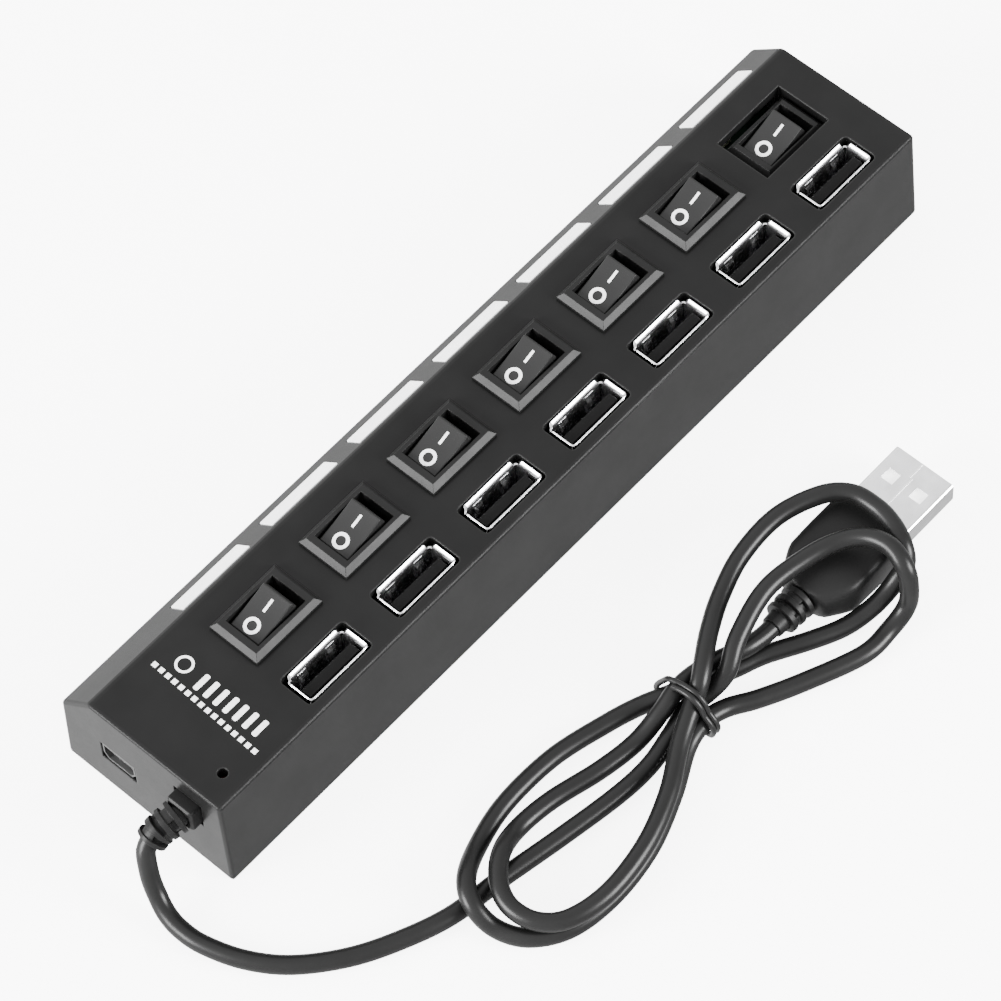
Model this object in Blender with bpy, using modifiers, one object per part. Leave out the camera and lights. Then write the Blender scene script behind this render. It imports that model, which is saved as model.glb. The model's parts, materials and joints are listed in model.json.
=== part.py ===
"""Seven-port USB hub bar with a rocker switch for each port, and its tied-up cord.

Units are metres, +Z is up.  +X runs along the bar away from its cord end, -Y is the side
of the sockets and +Y the side of the indicator windows.  The origin is the centre of the
bar's underside.
"""
import math

import bmesh
import bpy
from mathutils import Matrix, Vector

MM = 0.001

# --- driving dimensions -------------------------------------------------------------
LENGTH = 167.0 * MM             # at the top; the ends widen downwards with their draft
FOOT = (168.2 * MM, 36.4 * MM)  # length and width at the bottom
SIDE_LOW_Y = -17.4 * MM         # upper edge of the socket side
SIDE_HIGH_Y = 17.8 * MM         # upper edge of the other side, under the chamfer
HEIGHT = 21.8 * MM
CHAMFER_RUN = 6.6 * MM          # across, along Y
CHAMFER_DROP = 6.1 * MM         # down, along Z
WALL = 2.0 * MM
EDGE_ROUND = 0.6 * MM
GAP = 0.3 * MM                  # clearance that touching pieces keep

PORTS = 7
UNIT_PITCH = 20.44 * MM
FIRST_UNIT_X = -53.6 * MM
UNIT_X = [FIRST_UNIT_X + i * UNIT_PITCH for i in range(PORTS)]

BASE_THICKNESS = 1.8 * MM
BOARD_BOTTOM = 6.3 * MM
BOARD_TOP = 7.9 * MM
ON_BOARD = BOARD_TOP + GAP
BOARD_LENGTH = 160.4 * MM
BOARD_WIDTH = 29.4 * MM

# USB-A sockets, standing upright
PORT_Y = -12.0 * MM
PORT_SHIFT_X = -0.1 * MM
PORT_MOUTH_Z = HEIGHT - 0.5 * MM
PORT_SHELL = (13.1 * MM, 5.7 * MM)
PORT_SHEET = 0.35 * MM
PORT_HOLE = (14.4 * MM, 6.8 * MM)
TONGUE = (11.1 * MM, 1.84 * MM)
TONGUE_OFFSET_Y = -0.75 * MM
TONGUE_TOP_Z = PORT_MOUTH_Z - 0.9 * MM
TONGUE_BASE_TOP_Z = 12.0 * MM

# rocker switches
SWITCH_Y = 1.0 * MM
FLANGE = (15.0 * MM, 10.3 * MM, 1.5 * MM)
FLANGE_BEVEL = 0.9 * MM
FLANGE_EDGE = 0.55 * MM          # upright part of the flange's sides
FLANGE_SEAT = 0.1 * MM          # the flange's clearance above the housing's top
SWITCH_BODY = (13.0 * MM, 9.0 * MM, 11.0 * MM)
SWITCH_CAVITY = (10.8 * MM, 7.2 * MM)
SWITCH_FLOOR = 1.0 * MM
SWITCH_HOLE = (13.6 * MM, 9.6 * MM)
LOW_SWITCH_HOLE = (15.6 * MM, 10.9 * MM)
LOW_SWITCH = PORTS - 1          # the last switch sits down inside its opening
LOW_SWITCH_DROP = 2.5 * MM
LOW_SWITCH_SHIFT = (0.3 * MM, -0.4 * MM)
LOW_FLANGE = (14.4 * MM, 9.5 * MM)
PIVOT_BELOW_FLANGE_TOP = 2.84 * MM
PADDLE_HALF_LENGTH = 4.2 * MM
PADDLE_WIDTH = 6.2 * MM
PADDLE_END_RISE = 3.3 * MM      # ends of the paddle's face above the pivot
PADDLE_MIDDLE_RISE = 3.05 * MM
REST_TILT = math.radians(18.0)
AXLE_RADIUS = 0.8 * MM
AXLE_LENGTH = 8.3 * MM
AXLE_HOLE_RADIUS = 1.1 * MM

# indicator windows on the chamfer
WINDOW = (15.5 * MM, 4.6 * MM)
WINDOW_ALONG_SLOPE = 0.39       # centre, as a share of the chamfer from its upper edge
WINDOW_SHIFT_X = 0.3 * MM
GUIDE_GAP = 0.15 * MM
GUIDE_LIP = 1.0 * MM
GUIDE_PROUD = 0.1 * MM

# cord end of the bar
POWER_LED_X = -78.4 * MM
POWER_LED_Y = -13.2 * MM
POWER_LED_HOLE_RADIUS = 0.9 * MM
SOCKET_Y = 5.75 * MM
SOCKET_Z = 10.2 * MM
SOCKET_HOLE = (7.6 * MM, 4.5 * MM)
SOCKET_SHELL = (7.0 * MM, 3.9 * MM)
SOCKET_DEPTH = 9.0 * MM
RELIEF_Y = -10.1 * MM
RELIEF_Z = 14.9 * MM
RELIEF_HOLE = 5.9 * MM
RELIEF_LINE_MM = [(-83.0, -10.1, 14.9), (-85.2, -10.0, 14.8), (-87.4, -9.5, 14.3),
                  (-89.4, -8.9, 13.4), (-91.1, -8.6, 12.1)]
RELIEF_RADII = (2.5 * MM, 2.1 * MM)
RELIEF_RIB_RADIUS = 3.15 * MM
RELIEF_RIB_PLACES = [3, 5, 8, 10]       # of the 13 steps along the line
RIB_THICKNESS = 0.9 * MM

# housing screws
SCREW_PLACES = [(-70.4 * MM, -11.5 * MM), (-70.4 * MM, 7.6 * MM),
                (78.7 * MM, -11.5 * MM), (78.7 * MM, 6.6 * MM)]
BOSS_RADIUS = 2.0 * MM
BOSS_SHOULDER_RADIUS = 2.8 * MM         # above the board, which it holds down
BOSS_TOP_Z = 20.6 * MM
BOSS_BOTTOM_Z = BASE_THICKNESS + GAP
BOSS_BORE_TOP_Z = 11.0 * MM
SCREW_HOLE_RADIUS = 1.2 * MM
SCREW_HEAD_RADIUS = 2.0 * MM
COUNTERBORE_RADIUS = 2.3 * MM
COUNTERBORE_DEPTH = 1.2 * MM

# ribs on the base plate, which hold the board up
RIB_X = [-48.0 * MM, 0.0, 48.0 * MM]
RIB_HALF_THICKNESS = 0.7 * MM
RIB_HALF_LENGTH = 9.0 * MM

# cord, tie and plug
CORD_RADIUS = 1.6 * MM
CORD_POINTS = 150
TIE_X = -15.3 * MM
TIE_RADIUS = 0.45 * MM
TIE_PITCH = 1.0 * MM            # sideways step from one turn to the next
TIE_POINTS = 48
PLUG_Y = -54.1 * MM
PLUG_Z = 4.5 * MM
PLUG_SHELL = (14.5 * MM, 12.0 * MM, 4.5 * MM)
PLUG_SHELL_START_X = 27.8 * MM
PLUG_FRONT_X = 30.5 * MM
PLUG_BODY_REAR_X = 16.6 * MM
PLUG_NECK_X = 12.0 * MM
PLUG_TAIL_X = 3.8 * MM
PLUG_BODY = (14.2 * MM, 8.2 * MM)

# The cord's route in millimetres: out of the strain relief, down to the surface, along
# it, and then twice round a bow-shaped hank whose strands cross in the tie.
CORD_ROUTE_MM = [
    # out of the strain relief and along the surface
    (-91.8, -8.5, 11.5), (-92.6, -8.8, 10.7), (-93.4, -9.7, 9.1), (-94.2, -10.9, 6.7),
    (-94.8, -12.5, 4.3), (-95.6, -15.0, 2.6), (-96.0, -18.2, 1.9), (-95.6, -22.8, 1.75),
    (-93.3, -29.5, 1.75), (-89.1, -35.8, 1.75), (-82.2, -41.7, 1.75),
    (-74.4, -45.9, 1.75), (-66.5, -48.8, 1.75), (-57.1, -50.3, 1.75), (-45.5, -52.5, 1.75),
    (-33.8, -54.4, 1.75), (-26.5, -54.7, 1.75), (-20.5, -53.8, 2.1), (-15.3, -52.9, 2.8),
    # outer loop over the plug
    (-11.5, -53.9, 3.9), (-8.0, -54.8, 6.9), (-2.9, -52.9, 9.3), (5.8, -51.1, 10.6),
    (14.0, -52.2, 10.9), (19.6, -54.3, 11.4), (22.7, -57.7, 12.7), (23.5, -62.0, 13.6),
    (22.6, -65.8, 12.6), (22.0, -67.4, 9.2), (21.0, -67.9, 4.6), (17.0, -67.7, 2.0),
    (10.8, -67.4, 1.75), (1.0, -63.5, 1.75), (-6.3, -59.9, 1.75),
    (-11.0, -57.3, 2.2), (-15.3, -56.5, 2.8),
    # outer loop towards the bar's cord end
    (-20.2, -57.1, 2.0), (-28.2, -61.0, 1.75), (-37.6, -64.4, 1.75), (-47.5, -65.6, 1.75),
    (-56.0, -64.4, 1.75), (-61.6, -60.6, 1.75), (-64.0, -55.7, 2.2), (-64.3, -51.4, 4.8),
    (-61.7, -47.6, 5.2), (-55.5, -44.1, 2.6), (-46.6, -41.9, 1.75), (-35.6, -42.1, 1.75),
    (-25.4, -44.5, 1.75), (-19.6, -46.6, 2.1), (-15.5, -49.0, 2.9),
    # inner loop over the plug, passing under the outer one
    (-10.5, -50.9, 2.0), (-4.4, -53.5, 1.8), (0.5, -55.4, 1.75), (7.2, -59.2, 1.75),
    (12.7, -61.8, 1.75), (17.4, -63.2, 2.8), (20.8, -63.8, 4.3), (23.2, -64.1, 6.2),
    (25.0, -64.3, 8.7), (26.4, -62.4, 11.0), (28.2, -58.6, 11.2), (29.0, -54.6, 11.0),
    (28.4, -50.0, 11.0), (24.9, -46.3, 10.8), (17.4, -43.5, 10.4), (8.8, -43.5, 9.4),
    (1.1, -45.7, 8.8), (-5.0, -48.6, 8.9), (-9.6, -51.4, 9.0), (-12.6, -53.2, 8.2),
    (-15.3, -54.2, 6.4),
    # inner loop towards the bar's cord end, lying on the outer one
    (-21.9, -57.0, 5.1), (-29.9, -61.5, 5.1), (-39.0, -64.7, 5.05), (-48.8, -65.8, 5.05),
    (-56.3, -64.2, 5.0), (-60.0, -60.6, 5.0), (-60.7, -55.8, 5.0), (-58.9, -51.9, 5.2),
    (-54.8, -48.6, 4.9), (-49.0, -46.6, 2.3), (-41.6, -47.0, 1.75), (-32.3, -49.3, 1.75),
    (-24.9, -50.4, 2.0), (-19.3, -50.8, 4.6), (-15.3, -50.6, 6.1),
    # into the plug
    (-11.0, -50.6, 5.5), (-6.5, -51.7, 5.1), (-2.0, -53.5, 5.1), (1.1, -54.0, 4.7),
    (3.5, -54.1, 4.5),
]

# One turn of the tie as (y, z) in millimetres, from its lower left upwards and over.
TIE_TURN_MM = [
    (-58.6, 1.5), (-58.9, 3.1), (-58.3, 4.7), (-57.2, 6.4), (-56.1, 8.0), (-54.6, 9.0),
    (-52.6, 9.0), (-50.6, 8.35), (-48.9, 7.6), (-47.9, 6.0), (-46.9, 4.1), (-46.4, 2.5),
    (-47.1, 1.1), (-49.0, 0.5), (-51.7, 0.5), (-54.3, 0.5), (-56.7, 0.5), (-58.0, 0.8),
]


# --- scene and helpers --------------------------------------------------------------
for old in list(bpy.data.objects):
    bpy.data.objects.remove(old, do_unlink=True)

PARTS = bpy.data.collections.new("usb_hub")
CUTTERS = bpy.data.collections.new("cutters")
bpy.context.scene.collection.children.link(PARTS)
bpy.context.scene.collection.children.link(CUTTERS)


def make_material(name, colour, roughness, metallic=0.0):
    material = bpy.data.materials.new(name)
    material.use_nodes = True
    shader = material.node_tree.nodes["Principled BSDF"]
    shader.inputs["Base Color"].default_value = (*colour, 1.0)
    shader.inputs["Roughness"].default_value = roughness
    shader.inputs["Metallic"].default_value = metallic
    material.diffuse_color = (*colour, 1.0)
    return material


BLACK_SHELL = make_material("black_abs", (0.035, 0.035, 0.038), 0.45)
BLACK_SWITCH = make_material("black_switch", (0.02, 0.02, 0.022), 0.35)
ROCKER_BLACK = make_material("rocker_black", (0.045, 0.045, 0.048), 0.4)
WINDOW_WHITE = make_material("window_white", (0.9, 0.9, 0.9), 0.35)
STEEL = make_material("plated_steel", (0.75, 0.75, 0.76), 0.25, 1.0)
INSULATOR_BLACK = make_material("insulator_black", (0.012, 0.012, 0.013), 0.5)
INSULATOR_WHITE = make_material("insulator_white", (0.85, 0.85, 0.83), 0.5)
BOARD_GREEN = make_material("board_green", (0.02, 0.16, 0.06), 0.45)
CHIP_BLACK = make_material("chip_black", (0.015, 0.015, 0.016), 0.55)
LED_CLEAR = make_material("led_clear", (0.55, 0.08, 0.07), 0.2)
LED_WHITE = make_material("led_white", (0.82, 0.82, 0.7), 0.4)
SCREW_STEEL = make_material("screw_steel", (0.3, 0.3, 0.31), 0.35, 1.0)
PVC_BLACK = make_material("cord_pvc", (0.02, 0.02, 0.021), 0.5)
TIE_BLACK = make_material("tie_pvc", (0.03, 0.03, 0.031), 0.55)


def put(name, mesh, material=None, cutter=False):
    """Link a mesh as a part, or as a cutter that is never rendered."""
    obj = bpy.data.objects.new(name, mesh)
    if cutter:
        CUTTERS.objects.link(obj)
        obj.hide_render = True
        obj.display_type = "WIRE"
    else:
        PARTS.objects.link(obj)
        mesh.materials.append(material)
    return obj


def box(name, low, high, material=None, cutter=False):
    """An axis-aligned block between two corners."""
    low, high = Vector(low), Vector(high)
    size = high - low
    bm = bmesh.new()
    bmesh.ops.create_cube(bm, size=1.0)
    bmesh.ops.scale(bm, vec=size, verts=bm.verts)
    bmesh.ops.translate(bm, vec=(low + high) / 2, verts=bm.verts)
    mesh = bpy.data.meshes.new(name)
    bm.to_mesh(mesh)
    bm.free()
    return put(name, mesh, material, cutter)


def cylinder(name, radius, start, end, material=None, cutter=False, sides=24, end_radius=None):
    """A round bar between two points, tapered when end_radius is given."""
    start, end = Vector(start), Vector(end)
    axis = end - start
    tip = radius if end_radius is None else end_radius
    bm = bmesh.new()
    bmesh.ops.create_cone(bm, cap_ends=True, segments=sides, radius1=radius, radius2=tip,
                          depth=axis.length)
    turn = axis.to_track_quat("Z", "Y").to_matrix().to_4x4()
    bmesh.ops.transform(bm, matrix=Matrix.Translation((start + end) / 2) @ turn, verts=bm.verts)
    mesh = bpy.data.meshes.new(name)
    bm.to_mesh(mesh)
    bm.free()
    return put(name, mesh, material, cutter)


def to_mesh_object(curve_object, material=None, cutter=False):
    """Turn a curve object into a closed mesh object in the same place."""
    PARTS.objects.link(curve_object)
    bpy.context.view_layer.update()
    evaluated = curve_object.evaluated_get(bpy.context.evaluated_depsgraph_get())
    mesh = bpy.data.meshes.new_from_object(evaluated)
    bm = bmesh.new()
    bm.from_mesh(mesh)
    bmesh.ops.remove_doubles(bm, verts=bm.verts, dist=0.01 * MM)
    bmesh.ops.recalc_face_normals(bm, faces=bm.faces)
    bm.to_mesh(mesh)
    bm.free()
    name = curve_object.name
    place = curve_object.matrix_world.copy()
    bpy.data.objects.remove(curve_object, do_unlink=True)
    mesh.materials.clear()
    obj = put(name, mesh, material, cutter)
    obj.matrix_world = place
    return obj


def extrusion(name, outline, half_thickness, place, material=None, cutter=False):
    """A flat closed outline, thickened both ways along the local Z axis of place."""
    curve = bpy.data.curves.new(name, "CURVE")
    curve.dimensions = "2D"
    curve.fill_mode = "BOTH"
    curve.extrude = half_thickness
    spline = curve.splines.new("POLY")
    spline.points.add(len(outline) - 1)
    for point, (u, v) in zip(spline.points, outline):
        point.co = (u, v, 0.0, 1.0)
    spline.use_cyclic_u = True
    obj = bpy.data.objects.new(name, curve)
    obj.matrix_world = place
    return to_mesh_object(obj, material, cutter)


def rounded_rectangle(width, height, radius, steps=3):
    """Outline of a rectangle with round corners, counter-clockwise round the centre."""
    outline = []
    corners = [(1, 1, 0.0), (-1, 1, 0.5), (-1, -1, 1.0), (1, -1, 1.5)]
    for side_x, side_y, turn in corners:
        centre_x = side_x * (width / 2 - radius)
        centre_y = side_y * (height / 2 - radius)
        for k in range(steps + 1):
            angle = math.pi * (turn + 0.5 * k / steps)
            outline.append((centre_x + radius * math.cos(angle),
                            centre_y + radius * math.sin(angle)))
    return outline


def upright(x, y, low_z, high_z):
    """Placement and half thickness of an outline extruded between two heights."""
    return Matrix.Translation((x, y, (low_z + high_z) / 2)), (high_z - low_z) / 2


# local X -> world Y, local Y -> world Z, local Z -> world X
ALONG_X = Matrix(((0, 0, 1, 0), (1, 0, 0, 0), (0, 1, 0, 0), (0, 0, 0, 1)))
# local X -> world X, local Y -> world Z, local Z -> world -Y
ALONG_Y = Matrix(((1, 0, 0, 0), (0, 0, -1, 0), (0, 1, 0, 0), (0, 0, 0, 1)))


def combine(target, tool, operation="DIFFERENCE"):
    """Add a Boolean that cuts or joins, and put its tool away with the cutters."""
    modifier = target.modifiers.new(operation.lower(), "BOOLEAN")
    modifier.operation = operation
    modifier.object = tool
    modifier.solver = "EXACT"
    if tool.name not in CUTTERS.objects:
        PARTS.objects.unlink(tool)
        CUTTERS.objects.link(tool)
        tool.hide_render = True
        tool.display_type = "WIRE"


def bevel(obj, width, segments=1, angle=math.radians(30.0)):
    modifier = obj.modifiers.new("bevel", "BEVEL")
    modifier.width = width
    modifier.segments = segments
    modifier.limit_method = "ANGLE"
    modifier.angle_limit = angle


def smooth(obj, angle=math.radians(35.0)):
    obj.data.shade_smooth()
    obj.data.set_sharp_from_angle(angle=angle)


def smooth_curve(points, samples):
    """Evenly spaced points on a Catmull-Rom curve through the given points."""
    padded = [2 * points[0] - points[1], *points, 2 * points[-1] - points[-2]]
    dense = []
    steps = 20
    for a, b, c, d in zip(padded, padded[1:], padded[2:], padded[3:]):
        for k in range(steps):
            t = k / steps
            dense.append(0.5 * ((2 * b) + (c - a) * t + (2 * a - 5 * b + 4 * c - d) * t * t
                                + (3 * b - a - 3 * c + d) * t ** 3))
    dense.append(points[-1])
    lengths = [0.0]
    for first, second in zip(dense, dense[1:]):
        lengths.append(lengths[-1] + (second - first).length)
    result = []
    index = 0
    for k in range(samples):
        goal = lengths[-1] * k / (samples - 1)
        while index < len(dense) - 2 and lengths[index + 1] < goal:
            index += 1
        span = lengths[index + 1] - lengths[index]
        share = (goal - lengths[index]) / span
        result.append(dense[index].lerp(dense[index + 1], share))
    return result


def tube(name, points, radius, material, roundness=2):
    """A round tube with filled ends along a line of points."""
    curve = bpy.data.curves.new(name, "CURVE")
    curve.dimensions = "3D"
    curve.bevel_depth = radius
    curve.bevel_resolution = roundness
    curve.use_fill_caps = True
    spline = curve.splines.new("POLY")
    spline.points.add(len(points) - 1)
    for point, place in zip(spline.points, points):
        point.co = (*place, 1.0)
    curve.materials.append(material)
    obj = bpy.data.objects.new(name, curve)
    PARTS.objects.link(obj)
    return obj


# --- housing ------------------------------------------------------------------------
def bar_outline(inset):
    """Cross-section of the bar, moved in by inset all round, on (Y, Z)."""
    top = HEIGHT - inset
    slope = math.hypot(CHAMFER_RUN, CHAMFER_DROP)
    # where the moved chamfer meets the moved top and the moved side
    shift_run = inset * (slope - CHAMFER_RUN) / CHAMFER_DROP
    shift_drop = inset * (slope - CHAMFER_DROP) / CHAMFER_RUN
    edge_y = SIDE_HIGH_Y - CHAMFER_RUN - shift_run
    edge_z = HEIGHT - CHAMFER_DROP - shift_drop
    return [(SIDE_HIGH_Y - inset, edge_z), (edge_y, top), (SIDE_LOW_Y + inset, top)]


CHAMFER_EDGE = Vector((0.0, SIDE_HIGH_Y - CHAMFER_RUN, HEIGHT))
CHAMFER_DOWN = Vector((0.0, CHAMFER_RUN, -CHAMFER_DROP))
CHAMFER_NORMAL = Vector((0.0, CHAMFER_DROP, CHAMFER_RUN)).normalized()


def window_place(x, depth):
    """Placement on the chamfer: local Z is its normal, depth is below the surface."""
    across = CHAMFER_DOWN.normalized()
    along = across.cross(CHAMFER_NORMAL)
    centre = CHAMFER_EDGE + CHAMFER_DOWN * WINDOW_ALONG_SLOPE - CHAMFER_NORMAL * depth
    centre.x = x + WINDOW_SHIFT_X
    place = Matrix((along, across, CHAMFER_NORMAL)).transposed().to_4x4()
    return Matrix.Translation(centre) @ place


def switch_drop(index):
    return LOW_SWITCH_DROP if index == LOW_SWITCH else 0.0


def switch_shift(index):
    return LOW_SWITCH_SHIFT if index == LOW_SWITCH else (0.0, 0.0)


def draft_ends(bar):
    """Lean both ends in towards the top.  The bar's local Y is up and local Z is along it."""
    lean = (FOOT[0] - LENGTH) / 2
    for vertex in bar.data.vertices:
        vertex.co.z -= math.copysign(lean * vertex.co.y / HEIGHT, vertex.co.z)


def make_housing():
    outer = [(-FOOT[1] / 2, 0.0), (FOOT[1] / 2, 0.0), *bar_outline(0.0)]
    housing = extrusion("housing", outer, FOOT[0] / 2, ALONG_X, BLACK_SHELL)
    draft_ends(housing)
    bevel(housing, EDGE_ROUND, segments=2)
    below = -2.0 * MM
    inner = [(SIDE_LOW_Y + WALL, below), (SIDE_HIGH_Y - WALL, below), *bar_outline(WALL)]
    combine(housing, extrusion("housing_inside", inner, LENGTH / 2 - WALL, ALONG_X,
                               cutter=True))
    for number, (x, y) in enumerate(SCREW_PLACES, start=1):
        shoulder = cylinder(f"boss_shoulder_{number}", BOSS_SHOULDER_RADIUS, (x, y, ON_BOARD),
                            (x, y, BOSS_TOP_Z), cutter=True, sides=16)
        combine(housing, shoulder, "UNION")
        boss = cylinder(f"boss_{number}", BOSS_RADIUS, (x, y, BOSS_BOTTOM_Z),
                        (x, y, ON_BOARD + MM), cutter=True, sides=16)
        combine(housing, boss, "UNION")
        bore = cylinder(f"boss_bore_{number}", SCREW_HOLE_RADIUS, (x, y, 0.0),
                        (x, y, BOSS_BORE_TOP_Z), cutter=True, sides=12)
        combine(housing, bore)
    for number, x in enumerate(UNIT_X, start=1):
        place, half = upright(x + PORT_SHIFT_X, PORT_Y, HEIGHT - 2 * WALL, HEIGHT + WALL)
        combine(housing, extrusion(f"port_hole_{number}", rounded_rectangle(*PORT_HOLE, 0.8 * MM),
                                   half, place, cutter=True))
        hole = LOW_SWITCH_HOLE if number - 1 == LOW_SWITCH else SWITCH_HOLE
        low = (x - hole[0] / 2, SWITCH_Y - hole[1] / 2, HEIGHT - 2 * WALL)
        high = (x + hole[0] / 2, SWITCH_Y + hole[1] / 2, HEIGHT + WALL)
        combine(housing, box(f"switch_hole_{number}", low, high, cutter=True))
        outline = rounded_rectangle(*WINDOW, 0.2 * MM, steps=1)
        combine(housing, extrusion(f"window_hole_{number}", outline, 1.5 * WALL,
                                   window_place(x, 0.0), cutter=True))
    combine(housing, cylinder("power_led_hole", POWER_LED_HOLE_RADIUS,
                              (POWER_LED_X, POWER_LED_Y, HEIGHT - 2 * WALL),
                              (POWER_LED_X, POWER_LED_Y, HEIGHT + WALL), cutter=True, sides=16))
    end = -LENGTH / 2
    width, height = SOCKET_HOLE
    combine(housing, box("socket_hole",
                         (end - WALL, SOCKET_Y - width / 2, SOCKET_Z - height / 2),
                         (end + 1.5 * WALL, SOCKET_Y + width / 2, SOCKET_Z + height / 2),
                         cutter=True))
    half_hole = RELIEF_HOLE / 2
    combine(housing, box("relief_hole",
                         (end - WALL, RELIEF_Y - half_hole, RELIEF_Z - half_hole),
                         (end + 1.5 * WALL, RELIEF_Y + half_hole, RELIEF_Z + half_hole),
                         cutter=True))
    return housing


def make_base_plate():
    half_x = LENGTH / 2 - WALL - GAP
    clear = WALL + GAP
    plate = box("base_plate", (-half_x, SIDE_LOW_Y + clear, 0.0),
                (half_x, SIDE_HIGH_Y - clear, BASE_THICKNESS), BLACK_SHELL)
    for number, x in enumerate(RIB_X, start=1):
        rib = box(f"plate_rib_{number}", (x - RIB_HALF_THICKNESS, -RIB_HALF_LENGTH, MM),
                  (x + RIB_HALF_THICKNESS, RIB_HALF_LENGTH, BOARD_BOTTOM - GAP), cutter=True)
        combine(plate, rib, "UNION")
    for number, (x, y) in enumerate(SCREW_PLACES, start=1):
        combine(plate, cylinder(f"plate_hole_{number}", SCREW_HOLE_RADIUS, (x, y, -WALL),
                                (x, y, 2 * WALL), cutter=True, sides=16))
        combine(plate, cylinder(f"counterbore_{number}", COUNTERBORE_RADIUS, (x, y, -WALL),
                                (x, y, COUNTERBORE_DEPTH), cutter=True, sides=16))
    return plate


def make_screw(number, x, y):
    head_low = 0.3 * MM
    head_high = 0.9 * MM
    screw = cylinder(f"base_screw_{number}", SCREW_HEAD_RADIUS, (x, y, head_low),
                     (x, y, head_high), SCREW_STEEL, sides=16)
    shank = cylinder(f"screw_shank_{number}", 0.9 * MM, (x, y, 0.6 * MM), (x, y, 8.6 * MM),
                     cutter=True, sides=12)
    combine(screw, shank, "UNION")
    slot = 0.2 * MM
    reach = 1.3 * MM
    combine(screw, box(f"screw_slot_{number}a", (x - reach, y - slot, 0.0),
                       (x + reach, y + slot, 0.55 * MM), cutter=True))
    combine(screw, box(f"screw_slot_{number}b", (x - slot, y - reach, 0.0),
                       (x + slot, y + reach, 0.55 * MM), cutter=True))
    smooth(screw)


# --- electronics --------------------------------------------------------------------
def make_board():
    half_x = BOARD_LENGTH / 2
    half_y = BOARD_WIDTH / 2
    board = box("circuit_board", (-half_x, -half_y, BOARD_BOTTOM), (half_x, half_y, BOARD_TOP),
                BOARD_GREEN)
    for number, (x, y) in enumerate(SCREW_PLACES, start=1):
        combine(board, cylinder(f"board_hole_{number}", BOSS_RADIUS + GAP,
                                (x, y, BOARD_BOTTOM - WALL), (x, y, BOARD_TOP + WALL),
                                cutter=True, sides=16))
    chip_x = -66.0 * MM
    box("hub_chip", (chip_x - 3.5 * MM, -2.5 * MM, ON_BOARD),
        (chip_x + 3.5 * MM, 4.5 * MM, ON_BOARD + 1.1 * MM), CHIP_BLACK)
    crystal = box("crystal", (chip_x - 2.0 * MM, -9.0 * MM, ON_BOARD),
                  (chip_x + 2.0 * MM, -4.0 * MM, ON_BOARD + 3.5 * MM), STEEL)
    bevel(crystal, 0.8 * MM)
    for number, x in enumerate(UNIT_X, start=1):
        box(f"indicator_led_{number}", (x - 1.5 * MM, 11.5 * MM, ON_BOARD),
            (x + 1.5 * MM, 13.5 * MM, ON_BOARD + 1.0 * MM), LED_WHITE)


def make_power_led():
    x, y = POWER_LED_X, POWER_LED_Y
    bulb_z = 18.0 * MM
    led = cylinder("power_led", 1.5 * MM, (x, y, 15.0 * MM), (x, y, bulb_z), LED_CLEAR, sides=16)
    dome = cylinder("power_led_dome", 1.5 * MM, (x, y, bulb_z - 0.5 * MM), (x, y, 19.4 * MM),
                    cutter=True, sides=16, end_radius=0.7 * MM)
    combine(led, dome, "UNION")
    for side in (-1, 1):
        leg_x = x + side * 0.75 * MM
        leg = cylinder(f"power_led_leg_{'a' if side < 0 else 'b'}", 0.25 * MM,
                       (leg_x, y, ON_BOARD), (leg_x, y, 15.5 * MM), cutter=True, sides=8)
        combine(led, leg, "UNION")
    smooth(led)


def make_port(number, x):
    centre_x = x + PORT_SHIFT_X
    place, half = upright(centre_x, PORT_Y, ON_BOARD, PORT_MOUTH_Z)
    shell = extrusion(f"port_shell_{number}", rounded_rectangle(*PORT_SHELL, 0.6 * MM),
                      half, place, STEEL)
    inner = (PORT_SHELL[0] - 2 * PORT_SHEET, PORT_SHELL[1] - 2 * PORT_SHEET)
    combine(shell, extrusion(f"port_space_{number}", rounded_rectangle(*inner, 0.3 * MM),
                             half + WALL, place, cutter=True))
    smooth(shell)
    base_half_x = inner[0] / 2 - GAP
    base_half_y = inner[1] / 2 - GAP
    tongue = box(f"port_tongue_{number}",
                 (centre_x - base_half_x, PORT_Y - base_half_y, ON_BOARD),
                 (centre_x + base_half_x, PORT_Y + base_half_y, TONGUE_BASE_TOP_Z),
                 INSULATOR_BLACK)
    tongue_y = PORT_Y + TONGUE_OFFSET_Y
    blade = box(f"port_blade_{number}",
                (centre_x - TONGUE[0] / 2, tongue_y - TONGUE[1] / 2, TONGUE_BASE_TOP_Z - MM),
                (centre_x + TONGUE[0] / 2, tongue_y + TONGUE[1] / 2, TONGUE_TOP_Z), cutter=True)
    combine(tongue, blade, "UNION")


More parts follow.
